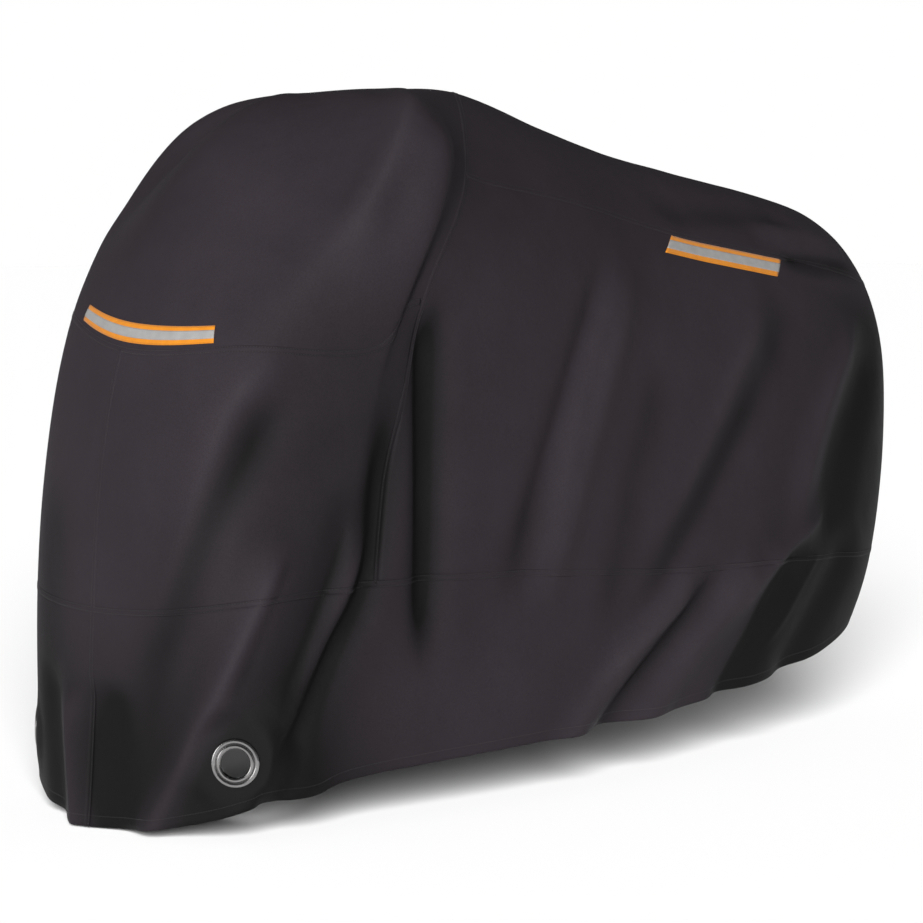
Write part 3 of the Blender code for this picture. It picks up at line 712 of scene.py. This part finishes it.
def press_flat(points):
    """Let the cloth lie flat where the steel grips it."""
    points = points.copy()
    for side in EYELET_PLACES:
        centre, normal = eyelet_plane(side)
        offset = points - centre
        height = offset @ normal
        radius = np.linalg.norm(offset - height[..., None] * normal, axis=-1)
        flat = 1.0 - smooth_step((radius - EYELET_FLAT) / (EYELET_BLEND - EYELET_FLAT))
        flat = flat * (np.abs(height) < EYELET_BLEND)
        points -= normal * (height * flat)[..., None]
    return points


print("eyelets at", [eyelet_plane(side)[0].round(3).tolist() for side in EYELET_PLACES])


# %% Holes for the eyelets
def cut_hole(obj, side):
    """Open the cloth for the barrel with a round cutter."""
    centre, normal = eyelet_plane(side)
    tool = bmesh.new()
    turn = Vector(normal).to_track_quat("Z", "Y").to_matrix().to_4x4()
    bmesh.ops.create_cone(tool, cap_ends=True, segments=96, radius1=CUT_RADIUS, radius2=CUT_RADIUS,
                          depth=0.06, matrix=Matrix.Translation(centre) @ turn)
    mesh = bpy.data.meshes.new("cutter")
    tool.to_mesh(mesh)
    tool.free()
    cutter = add_object("cutter", mesh)
    cut = obj.modifiers.new("Hole", "BOOLEAN")
    cut.operation = "DIFFERENCE"
    cut.object = cutter
    settle(obj)
    bpy.data.objects.remove(cutter)
    return obj


# %% Cut, fold and place the panels
Panel = namedtuple("Panel", "name first last top bottom eyelet")
PANELS = (
    Panel("hood", -CROSS, CROSS, RIDGE, SHOULDER, None),
    Panel("top_panel", CROSS, LOOP - CROSS, RIDGE, CROWN, None),
    Panel("front_left", 0, CROSS, SHOULDER, WAIST, None),
    Panel("front_right", LOOP - CROSS, LOOP, SHOULDER, WAIST, None),
    Panel("side_left", CROSS, REAR, CROWN, WAIST, None),
    Panel("side_right", REAR, LOOP - CROSS, CROWN, WAIST, None),
    Panel("band_left", 0, REAR, WAIST, HEM, "left"),
    Panel("band_right", REAR, LOOP, WAIST, HEM, "right"),
)


# The rows of the turned hem: (metres inwards from the edge, metres up).
HEM_ROWS = ((0.0009, -0.0006), (0.0022, 0.0010), (0.0024, 0.0066), (0.0024, 0.0143), (0.0024, 0.0220))
SPACING_LEVEL = 0.3  # sections crowd together above this level, so spacing isn't measured there


def turned_hem(points, normals):
    """Extra rows that turn the cloth under and up on its inner side."""
    last = points[:, -1]
    up = unit(points[:, -4] - last)
    rows = [last - inwards * normals[:, -1] + upwards * up for inwards, upwards in HEM_ROWS]
    return np.concatenate([points] + [row[:, None] for row in rows], axis=1)


def make_panel(panel):
    """Lay a panel on the drape, turn its hem and open its eyelet hole, where it has them."""
    middle_level = max((panel.top + panel.bottom) / 2, SPACING_LEVEL)
    sections = even_places(panel.first, panel.last, middle_level)
    levels = even_levels(panel.top, panel.bottom, (panel.first + panel.last) / 2)
    points, normals, tone = cloth(*np.meshgrid(sections, levels, indexing="ij"))
    points = press_flat(points)
    if panel.top == RIDGE:  # both halves meet in one line, halfway between their own ones
        points[:, 0] = (points[:, 0] + points[::-1, 0]) / 2
        tone[:, 0] = (tone[:, 0] + tone[::-1, 0]) / 2
    if panel.bottom == HEM:
        points = turned_hem(points, normals)
        tone = np.pad(tone, ((0, 0), (0, points.shape[1] - tone.shape[1])), mode="edge")
    obj = grid_object(panel.name + "_cloth", points, CLOTH, tone, panel.top == RIDGE)
    thicken(obj, CLOTH_THICKNESS)
    if panel.eyelet:
        cut_hole(obj, panel.eyelet)
    return obj


panel_objects = {panel.name: make_panel(panel) for panel in PANELS}
for name, obj in panel_objects.items():
    print(name, len(obj.data.polygons), "faces")

# %% [markdown]
# ## Seams
# The panels are joined by lapped seams: one edge is folded over the other and held by two rows
# of stitching. From outside that is a narrow raised strip with a dent along each row. Each strip
# is swept along its seam on the finished surface, so it rises and falls with the folds.

# %% Seam strips
SEAM_WIDTH = 0.0125
SEAM_ROWS = 0.0040  # each row of stitches lies this far from the middle
# Across a strip: (share of the half width, height above the cloth in metres)
DENT = 0.64
SEAM_PROFILE = ((-1.00, -0.0006), (-0.90, 0.0000), (-0.76, 0.0002), (-DENT, -0.0002),
                (-0.52, 0.0003), (-0.20, 0.0003), (0.20, 0.0003), (0.52, 0.0003),
                (DENT, -0.0002), (0.76, 0.0002), (0.90, 0.0000), (1.00, -0.0006))
SEAM_DENTS = [place for place, (share, height) in enumerate(SEAM_PROFILE) if abs(share) == DENT]
# Painted shade: the tone in the stitch dents is lowered by this much.
DENT_PAINTED_SHADE = 0.35  # the dents are this much darker
SEAM_THICKNESS = 0.0004
SEAM_TUCK = 0.05  # a seam that ends under another stops this far short of it, in sections

Seam = namedtuple("Seam", "name path panel")  # panel is the one that the strip belongs to
SEAMS = (
    Seam("cross_seam_left", ((CROSS, 0.0), (CROSS, WAIST)), "hood"),
    Seam("cross_seam_right", ((LOOP - CROSS, 0.0), (LOOP - CROSS, WAIST)), "hood"),
    Seam("shoulder_seam", ((SEAM_TUCK - CROSS, SHOULDER), (CROSS - SEAM_TUCK, SHOULDER)), "hood"),
    Seam("crown_seam", ((CROSS, CROWN), (LOOP - CROSS, CROWN)), "top_panel"),
    Seam("waist_seam", ((0.0, WAIST), (LOOP, WAIST)), "band_left"),
    Seam("front_seam", ((0.0, SHOULDER), (0.0, HEM)), "front_left"),
    Seam("rear_seam", ((REAR, CROWN), (REAR, HEM)), "side_left"),
)


def line_on_cloth(start, end, spacing):
    """Evenly spaced points from one place on the cloth to another, with normals and tone."""
    start, end = np.array(start), np.array(end)
    share = np.linspace(0.0, 1.0, 1201)
    rough = drape(*(start + (end - start) * share[:, None]).T)
    even = even_steps(rough, share, spacing, 3)
    points, normals, tone = cloth(*(start + (end - start) * even[:, None]).T)
    return press_flat(points), normals, tone


def surface_frame(points, normals):
    """Across direction for each point of a line, square to it and to the cloth's normal."""
    along = unit(np.gradient(points, axis=0))
    across = unit(np.cross(normals, along))
    true_normals = unit(np.cross(along, across))
    return across, true_normals


def strip_points(points, normals, half_width, profile):
    """A profile swept along a line on the cloth."""
    across, upright = surface_frame(points, normals)
    shares, heights = np.array(profile).T
    sideways = across[:, None] * (shares * half_width)[None, :, None]
    return points[:, None] + sideways + upright[:, None] * heights[None, :, None]


def make_seam(seam):
    """One strip, with the line down its middle for the stitches."""
    points, normals, tone = line_on_cloth(*seam.path, SPACING * 0.6)
    strip = strip_points(points, normals, SEAM_WIDTH / 2, SEAM_PROFILE)
    wide_tone = np.repeat(tone[:, None], len(SEAM_PROFILE), axis=1)
    # Painted shade along the stitch dents.
    wide_tone[:, SEAM_DENTS] -= DENT_PAINTED_SHADE
    strip_object = grid_object(seam.name, strip, CLOTH, wide_tone)
    return thicken(strip_object, SEAM_THICKNESS), (points, normals)


seam_objects, seam_lines = {}, {}
for seam in SEAMS:
    seam_objects[seam.name], seam_lines[seam.name] = make_seam(seam)
print(len(seam_objects), "seam strips")

# %% [markdown]
# ## Reflective tapes
# A reflective tape is a woven orange ribbon with a silver glass-bead band laid on its middle.
# It is sewn flat along both edges. Both strips are swept over the cloth as the solids are.

# %% Tape strips
TAPE_WIDTH_SHARE = (0.03, 0.97)
SILVER_SHARE = (0.27, 0.73)
TAPE_STEPS = 49
TAPE_PARTS = (  # (name, shares of the tape's width, height over the cloth, finish)
    ("orange", TAPE_WIDTH_SHARE, 0.0016, ORANGE),
    ("silver", SILVER_SHARE, 0.0022, SILVER),
)
TAPE_THICKNESS = 0.0009
EDGE_PRESS = 0.0005  # the edges are pressed down by this much
Tape = namedtuple("Tape", "name upper lower levels")
# upper and lower are the sections between which each edge runs; the ends are cut a little askew.
TAPES = (
    Tape("front_tape", (-0.62, 0.84), (-0.66, 0.90), (0.418, 0.442)),
    Tape("rear_tape_left", (6.08, 7.20), (5.98, 7.10), (0.205, 0.243)),
    Tape("rear_tape_right", (LOOP - 7.20, LOOP - 6.08), (LOOP - 7.10, LOOP - 5.98), (0.205, 0.243)),
)


def tape_places(tape, share, count):
    """Places along a tape, at a share of the way from its upper edge to its lower one."""
    first, last = (up + (low - up) * share for up, low in zip(tape.upper, tape.lower))
    level = tape.levels[0] + (tape.levels[1] - tape.levels[0]) * share
    return np.linspace(first, last, count), np.full(count, level)


def tape_grid(tape, shares, height):
    """A band between two levels of the cloth, raised above it, with its edges pressed down."""
    columns = [tape_places(tape, share, TAPE_STEPS) for share in np.linspace(*shares, 9)]
    grid_s, grid_t = (np.stack(values, axis=1) for values in zip(*columns))
    points, normals = cloth(grid_s, grid_t)[:2]
    rise = np.full(points.shape[:2], height)
    rise[:, (0, -1)] -= EDGE_PRESS
    return points + rise[..., None] * normals


def make_tape(tape):
    """The orange band and the silver one on it."""
    made = []
    for part, shares, height, material in TAPE_PARTS:
        band = grid_object(f"{tape.name}_{part}", tape_grid(tape, shares, height), material)
        made.append(thicken(band, TAPE_THICKNESS))
    return made


tape_objects = {tape.name: make_tape(tape) for tape in TAPES}
print(len(tape_objects), "tapes")

# %% [markdown]
# ## Stitches
# Every seam has two rows of lockstitch, the hem has one and each tape has one along either edge.
# On the real cover a machine lays them at a steady pitch. Here a node tree does the same: it
# takes the lines to be sewn, steps along them and lays one short bead of thread at each step,
# turned along the line and flat on the cloth.


# %% The stitching machine
THREAD_FLATNESS = 0.8  # a stitch is this much as high as it is wide
STITCH_SIZES = ("Pitch", "Stitch length", "Thread width", "Thread height")


def stitch_tree(name, thread, seed):
    """Node tree that sews along the edges of a mesh that carries an "up" attribute."""
    tree = bpy.data.node_groups.new(name, "GeometryNodeTree")
    face = tree.interface
    face.new_socket("Geometry", in_out="INPUT", socket_type="NodeSocketGeometry")
    for label in STITCH_SIZES:
        face.new_socket(label, in_out="INPUT", socket_type="NodeSocketFloat")
    face.new_socket("Geometry", in_out="OUTPUT", socket_type="NodeSocketGeometry")
    start = tree.nodes.new("NodeGroupInput")
    end = tree.nodes.new("NodeGroupOutput")
    curve = tree.nodes.new("GeometryNodeMeshToCurve")
    step = add_node(tree, "GeometryNodeResampleCurve", {"mode": "LENGTH"})
    bead_mesh = add_node(tree, "GeometryNodeMeshUVSphere",
                         inputs={"Segments": 5, "Rings": 3, "Radius": 0.5})
    size = tree.nodes.new("ShaderNodeCombineXYZ")
    up = add_node(tree, "GeometryNodeInputNamedAttribute", {"data_type": "FLOAT_VECTOR"},
                  {"Name": "up"})
    along = tree.nodes.new("GeometryNodeInputTangent")
    turn = add_node(tree, "FunctionNodeAxesToRotation", {"primary_axis": "X", "secondary_axis": "Z"})
    vary = add_node(tree, "FunctionNodeRandomValue", {"data_type": "FLOAT"})
    lay = tree.nodes.new("GeometryNodeInstanceOnPoints")
    scale = add_node(tree, "ShaderNodeVectorMath", {"operation": "SCALE"})
    real = tree.nodes.new("GeometryNodeRealizeInstances")
    smooth = tree.nodes.new("GeometryNodeSetShadeSmooth")
    dress = add_node(tree, "GeometryNodeSetMaterial", inputs={"Material": thread})
    for label, value in (("Min", 0.92), ("Max", 1.05), ("Seed", seed)):
        socket = next(s for s in vary.inputs if s.name == label and s.enabled)
        socket.default_value = value
    pulled = next(s for s in vary.outputs if s.enabled)
    for source, target, key in (
            (start.outputs["Geometry"], curve, "Mesh"), (curve.outputs["Curve"], step, "Curve"),
            (start.outputs["Pitch"], step, "Length"), (start.outputs["Stitch length"], size, "X"),
            (start.outputs["Thread width"], size, "Y"), (start.outputs["Thread height"], size, "Z"),
            (along.outputs["Tangent"], turn, "Primary Axis"),
            (up.outputs["Attribute"], turn, "Secondary Axis"),
            (step.outputs["Curve"], lay, "Points"), (bead_mesh.outputs["Mesh"], lay, "Instance"),
            (turn.outputs["Rotation"], lay, "Rotation"), (size.outputs["Vector"], scale, 0),
            (pulled, scale, "Scale"), (scale.outputs["Vector"], lay, "Scale"),
            (lay.outputs["Instances"], real, "Geometry"),
            (real.outputs["Geometry"], smooth, "Geometry"),
            (smooth.outputs["Geometry"], dress, "Geometry"),
            (dress.outputs["Geometry"], end, "Geometry")):
        tree.links.new(source, target.inputs[key])
    return tree


# %% Sewing along lines
def sew(name, lines, thread, pitch, length, width):
    """Sew along lines, each a pair of points and normals; the result is one plain mesh."""
    verts, ups, edges = [], [], []
    for points, normals in lines:
        first = len(verts)
        verts += points.tolist()
        ups += normals.tolist()
        edges += [(i, i + 1) for i in range(first, first + len(points) - 1)]
    mesh = bpy.data.meshes.new(name)
    mesh.from_pydata(verts, edges, [])
    mesh.attributes.new("up", "FLOAT_VECTOR", "POINT").data.foreach_set("vector", np.ravel(ups))
    obj = add_object(name, mesh)
    machine = obj.modifiers.new("Stitches", "NODES")
    machine.node_group = stitch_tree(name + "_machine", thread, len(lines))
    sizes = dict(zip(STITCH_SIZES, (pitch, length, width, THREAD_FLATNESS * width)))
    for item in machine.node_group.interface.items_tree:
        if item.name in sizes:
            machine[item.identifier] = sizes[item.name]
    return settle(obj)


# %% Sew the seams, the hem and the tapes
HEM_STITCH = 0.019  # the hem's row of stitches is this far above its edge
TAPE_STITCH = 0.09  # share of a tape's width between its edge and its stitches
# Height over the cloth at which each row is laid.
SEAM_THREAD, HEM_THREAD, TAPE_THREAD = 0.0003, 0.0001, 0.0021
THREAD_WIDTH, FINE_THREAD_WIDTH = 0.0009, 0.0007
LEVEL_STEP = 0.02


def row_beside(points, normals, aside, height):
    """The line moved sideways over the cloth and raised."""
    across, upright = surface_frame(points, normals)
    return points + aside * across + height * upright, upright


def hem_line():
    """A line at one distance above the hem, all the way round."""
    section = even_places(0, LOOP, HEM)
    near = drape(section, HEM) - drape(section, HEM - LEVEL_STEP)
    level = HEM - LEVEL_STEP * HEM_STITCH / np.linalg.norm(near, axis=1)
    points, normals = cloth(section, level)[:2]
    return press_flat(points), normals


def tape_lines(tape):
    """A line along either edge of a tape."""
    lines = []
    for share in (TAPE_STITCH, 1.0 - TAPE_STITCH):
        points, normals = cloth(*tape_places(tape, share, 4 * TAPE_STEPS))[:2]
        lines.append((points + TAPE_THREAD * normals, normals))
    return lines


seam_rows = [row_beside(points, normals, aside, SEAM_THREAD)
             for points, normals in seam_lines.values() for aside in (-SEAM_ROWS, SEAM_ROWS)]
hem_rows = [row_beside(*hem_line(), 0.0, HEM_THREAD)]
tape_rows = sum((tape_lines(tape) for tape in TAPES), [])
stitch_objects = {  # each call ends with the stitches' pitch, length and width
    "seam_stitches": sew("seam_stitches", seam_rows, THREAD, 0.0050, 0.0042, THREAD_WIDTH),
    "hem_stitches": sew("hem_stitches", hem_rows, THREAD, 0.0050, 0.0040, THREAD_WIDTH),
    "tape_stitches": sew("tape_stitches", tape_rows, ORANGE_THREAD, 0.0040, 0.0031,
                         FINE_THREAD_WIDTH),
}
for name, obj in stitch_objects.items():
    print(name, len(obj.data.polygons), "faces")

# %% [markdown]
# ## Turned steel
# Both rings are one profile turned about the eyelet's axis. The face ring has a rolled bead
# round the hole and a broader one at its rim, with a groove between them.


# %% Eyelet rings
BARREL_END = -0.0046
WASHER_BEVEL, WASHER_LIP, WASHER_DEPTH = 0.002, 0.0008, 0.0016


def bead(centre, radius, base, start, end, count):
    """An arc of the profile, from one angle to another."""
    angles = np.radians(np.linspace(start, end, count))
    return [(centre + radius * math.cos(a), base + radius * math.sin(a)) for a in angles]


def face_profile():
    """Half section of the face ring, as (radius, height over the cloth)."""
    inner = bead(EYELET_HOLE + 0.0040, 0.0040, FIT + 0.0014, 180.0, 18.0, 12)
    outer = bead(EYELET_FACE - 0.0050, 0.0048, FIT + 0.0002, 158.0, 4.0, 14)
    under = [(EYELET_FACE - 0.0006, FIT), (EYELET_BARREL, FIT)]
    return inner + outer + under + [(EYELET_BARREL, BARREL_END), (EYELET_HOLE, BARREL_END)]


def washer_profile():
    top = -CLOTH_THICKNESS - FIT
    inner, outer = EYELET_BARREL + FIT, EYELET_WASHER
    return [(inner, top), (outer - WASHER_BEVEL, top), (outer, top - WASHER_LIP),
            (outer - WASHER_BEVEL, top - WASHER_DEPTH), (inner, top - WASHER_DEPTH)]


def turned_ring(name, profile, side, segments=96):
    """A closed profile turned about the eyelet's axis, with its place in its mesh."""
    centre, normal = eyelet_plane(side)
    turn = np.array(Vector(normal).to_track_quat("Z", "Y").to_matrix())
    angles = np.linspace(0.0, math.tau, segments, endpoint=False)
    ring = np.array([[(r * math.cos(a), r * math.sin(a), h) for r, h in profile] for a in angles])
    points = (ring @ turn.T + centre).reshape(-1, 3)
    here = np.arange(len(points)).reshape(segments, -1)
    ahead = np.roll(here, -1, axis=0)
    faces = np.stack([here, np.roll(here, -1, 1), np.roll(ahead, -1, 1), ahead], axis=-1)
    mesh = bpy.data.meshes.new(name)
    mesh.from_pydata(points.tolist(), [], faces.reshape(-1, 4).tolist())
    sheet = bmesh.new()
    sheet.from_mesh(mesh)
    bmesh.ops.recalc_face_normals(sheet, faces=sheet.faces)
    sheet.to_mesh(mesh)
    sheet.free()
    mesh.materials.append(STEEL)
    mesh.shade_smooth()
    return add_object(name, mesh)


eyelet_objects = {}
for side in EYELET_PLACES:
    for part, made_as, profile in (("face", "ring", face_profile()),
                                   ("washer", "backing", washer_profile())):
        ring = turned_ring(f"eyelet_{made_as}_{side}", profile, side)
        eyelet_objects[f"eyelet_{part}_{side}"] = ring
print(len(eyelet_objects), "eyelet rings")

# %% [markdown]
# ## Dress the frame
# Each piece rides on the one body and stands for its CAD nodes.

# %% Ride and replace
for name, obj in panel_objects.items():
    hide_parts(name)
for name, (orange, silver) in tape_objects.items():
    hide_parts(name + "_orange")
    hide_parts(name + "_silver")
for name, obj in eyelet_objects.items():
    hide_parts(name)
steel_pieces = list(eyelet_objects.values())
cloth_pieces = [*panel_objects.values(), *seam_objects.values(), *stitch_objects.values(),
                *(part for pair in tape_objects.values() for part in pair)]
for obj in cloth_pieces + steel_pieces:
    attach(obj, "root")
print(len(cloth_pieces), "cloth pieces and", len(steel_pieces), "steel ones")

# %% [markdown]
# ## Studio
# A pale floor and a white surround, with one soft light for each task. The key comes low from
# the front left to draw the folds: a ridge is light on its front side and dark behind. Weaker
# ones reach the tail and the far side. The floor and the steel have lights of their own, each
# linked to what it lights, so that the pale floor can be bright while black cloth stays black.
# The surround looks white but lights things dimly, and the floor sends no light back up.

# %% Floor
FLOOR = -TOP_HEIGHT - 0.012
FLOOR_REACH = 60.0


def make_floor():
    mesh = bpy.data.meshes.new("studio_floor")
    corners = [(x * FLOOR_REACH, y * FLOOR_REACH, FLOOR)
               for x, y in ((-1, -1), (1, -1), (1, 1), (-1, 1))]
    mesh.from_pydata(corners, [], [(0, 1, 2, 3)])
    mesh.materials.append(new_material("pale_floor", (0.80, 0.80, 0.80), 0.9, specular=0.1)[0])
    obj = add_object("studio_floor", mesh)
    obj.visible_diffuse = False  # a white floor would wash the low folds out
    return obj


# %% Suns and surround
def make_sun(name, azimuth, elevation, strength, spread, lit):
    """A sun that lights only some objects; azimuth 0 is from -Y and -90 is from -X."""
    light = bpy.data.lights.new(name, "SUN")
    light.energy = strength
    light.angle = math.radians(spread)
    obj = add_object(name, light)
    a, e = math.radians(azimuth), math.radians(elevation)
    towards = Vector((math.sin(a) * math.cos(e), -math.cos(a) * math.cos(e), math.sin(e)))
    obj.rotation_mode = "QUATERNION"
    obj.rotation_quaternion = towards.to_track_quat("Z", "Y")
    receivers = bpy.data.collections.new("lit_by_" + name)
    for thing in lit:
        receivers.objects.link(thing)
    obj.light_linking.receiver_collection = receivers
    return obj


def make_sky(horizon, zenith, below):
    """A white surround to look at, which lights the cloth far less than it seems to."""
    world = bpy.data.worlds.new("studio_sky")
    bpy.context.scene.world = world
    world.use_nodes = True
    tree = world.node_tree
    where = add_node(tree, "ShaderNodeTexCoord")
    split = add_node(tree, "ShaderNodeSeparateXYZ")
    tree.links.new(where.outputs["Generated"], split.inputs[0])
    height = add_node(tree, "ShaderNodeMapRange", inputs={"From Min": -1.0, "From Max": 1.0})
    tree.links.new(split.outputs["Z"], height.inputs["Value"])
    glow = ramp_node(tree, height.outputs[0], ((0.49, below), (0.52, horizon), (0.75, zenith)))
    seen = add_node(tree, "ShaderNodeLightPath")
    colour = mix_node(tree, "MIX", seen.outputs["Is Camera Ray"], glow, (1.0, 1.0, 1.0, 1.0))
    tree.links.new(colour, tree.nodes["Background"].inputs["Color"])


# %% Camera
CAMERA_AZIMUTH = -42.0  # degrees, as for the suns
CAMERA_DISTANCE = 6.0
CAMERA_HEIGHT = -0.24
CAMERA_PITCH = -4.38
CAMERA_LENS = 121.2


def make_camera():
    data = bpy.data.cameras.new("studio_camera")
    data.lens = CAMERA_LENS
    data.sensor_width = 36.0
    data.clip_end = 200.0
    camera = add_object("studio_camera", data)
    a = math.radians(CAMERA_AZIMUTH)
    camera.location = (CAMERA_DISTANCE * math.sin(a), -CAMERA_DISTANCE * math.cos(a), CAMERA_HEIGHT)
    camera.rotation_euler = (math.radians(90.0 + CAMERA_PITCH), 0.0, a)
    bpy.context.scene.camera = camera


# %% Light the cover
floor = make_floor()
make_sky(horizon=0.33, zenith=0.08, below=0.08)
# Each sun: azimuth and elevation in degrees, strength, spread in degrees, and what it lights.
make_sun("floor_sun", -42.0, 20.0, 10.8, 26.0, [floor])
make_sun("key_sun", -48.0, 10.0, 4.9, 10.0, cloth_pieces)
make_sun("left_sun", -125.0, 8.0, 0.5, 40.0, cloth_pieces)
back_sun = make_sun("back_sun", 150.0, 5.0, 4.4, 30.0, cloth_pieces)
back_sun.visible_glossy = False  # it brightens the hidden side and leaves no glare on the edges
make_sun("steel_sun", -100.0, 5.0, 1.4, 36.0, steel_pieces)
make_camera()
bpy.context.scene.view_settings.view_transform = "Standard"
print("camera at", [round(v, 2) for v in bpy.context.scene.camera.location])

# %% [markdown]
# Every panel and tape is a sheet that was cut flat. Its flat size is the length and width of
# the cut, and its area is the cloth that the cut holds.


# %% Sheets
def surface_area(obj):
    """One side of a thin closed sheet."""
    return sum(face.area for face in obj.data.polygons) / 2.0


Cut = namedtuple("Cut", "width length area held hangs_from")
CUTS = {
    "hood": Cut(1.30, 1.02, 0.80, "draped", ()),
    "top_panel": Cut(1.45, 0.64, 0.68, "draped", ()),
    "front_left": Cut(0.66, 0.48, 0.28, "hung", ("hood",)),
    "front_right": Cut(0.66, 0.48, 0.28, "hung", ("hood",)),
    "side_left": Cut(1.80, 0.80, 1.14, "hung", ("top_panel",)),
    "side_right": Cut(1.80, 0.80, 1.14, "hung", ("top_panel",)),
    "band_left": Cut(2.35, 0.44, 0.72, "hung", ("side_left", "front_left")),
    "band_right": Cut(2.35, 0.44, 0.72, "hung", ("side_right", "front_right")),
}
trims = {name: [] for name in CUTS}
for seam in SEAMS:
    trims[seam.panel].append(seam_objects[seam.name])
trims["hood"].append(stitch_objects["seam_stitches"])
trims["band_left"].append(stitch_objects["hem_stitches"])
for name, cut in CUTS.items():
    obj = panel_objects[name]
    print(name, "holds", round(surface_area(obj), 3), "square metres, cut from", cut.area)

# Each tape lies on the panel that it is sewn to, the silver one on the orange.
TAPE_CUTS = {"front_tape": (0.036, 0.39, "hood"), "rear_tape_left": (0.046, 0.37, "side_left"),
             "rear_tape_right": (0.046, 0.37, "side_right")}
for name, (width, length, under) in TAPE_CUTS.items():
    orange, silver = tape_objects[name]
    print(name, "orange", round(surface_area(orange), 4), "silver", round(surface_area(silver), 4))
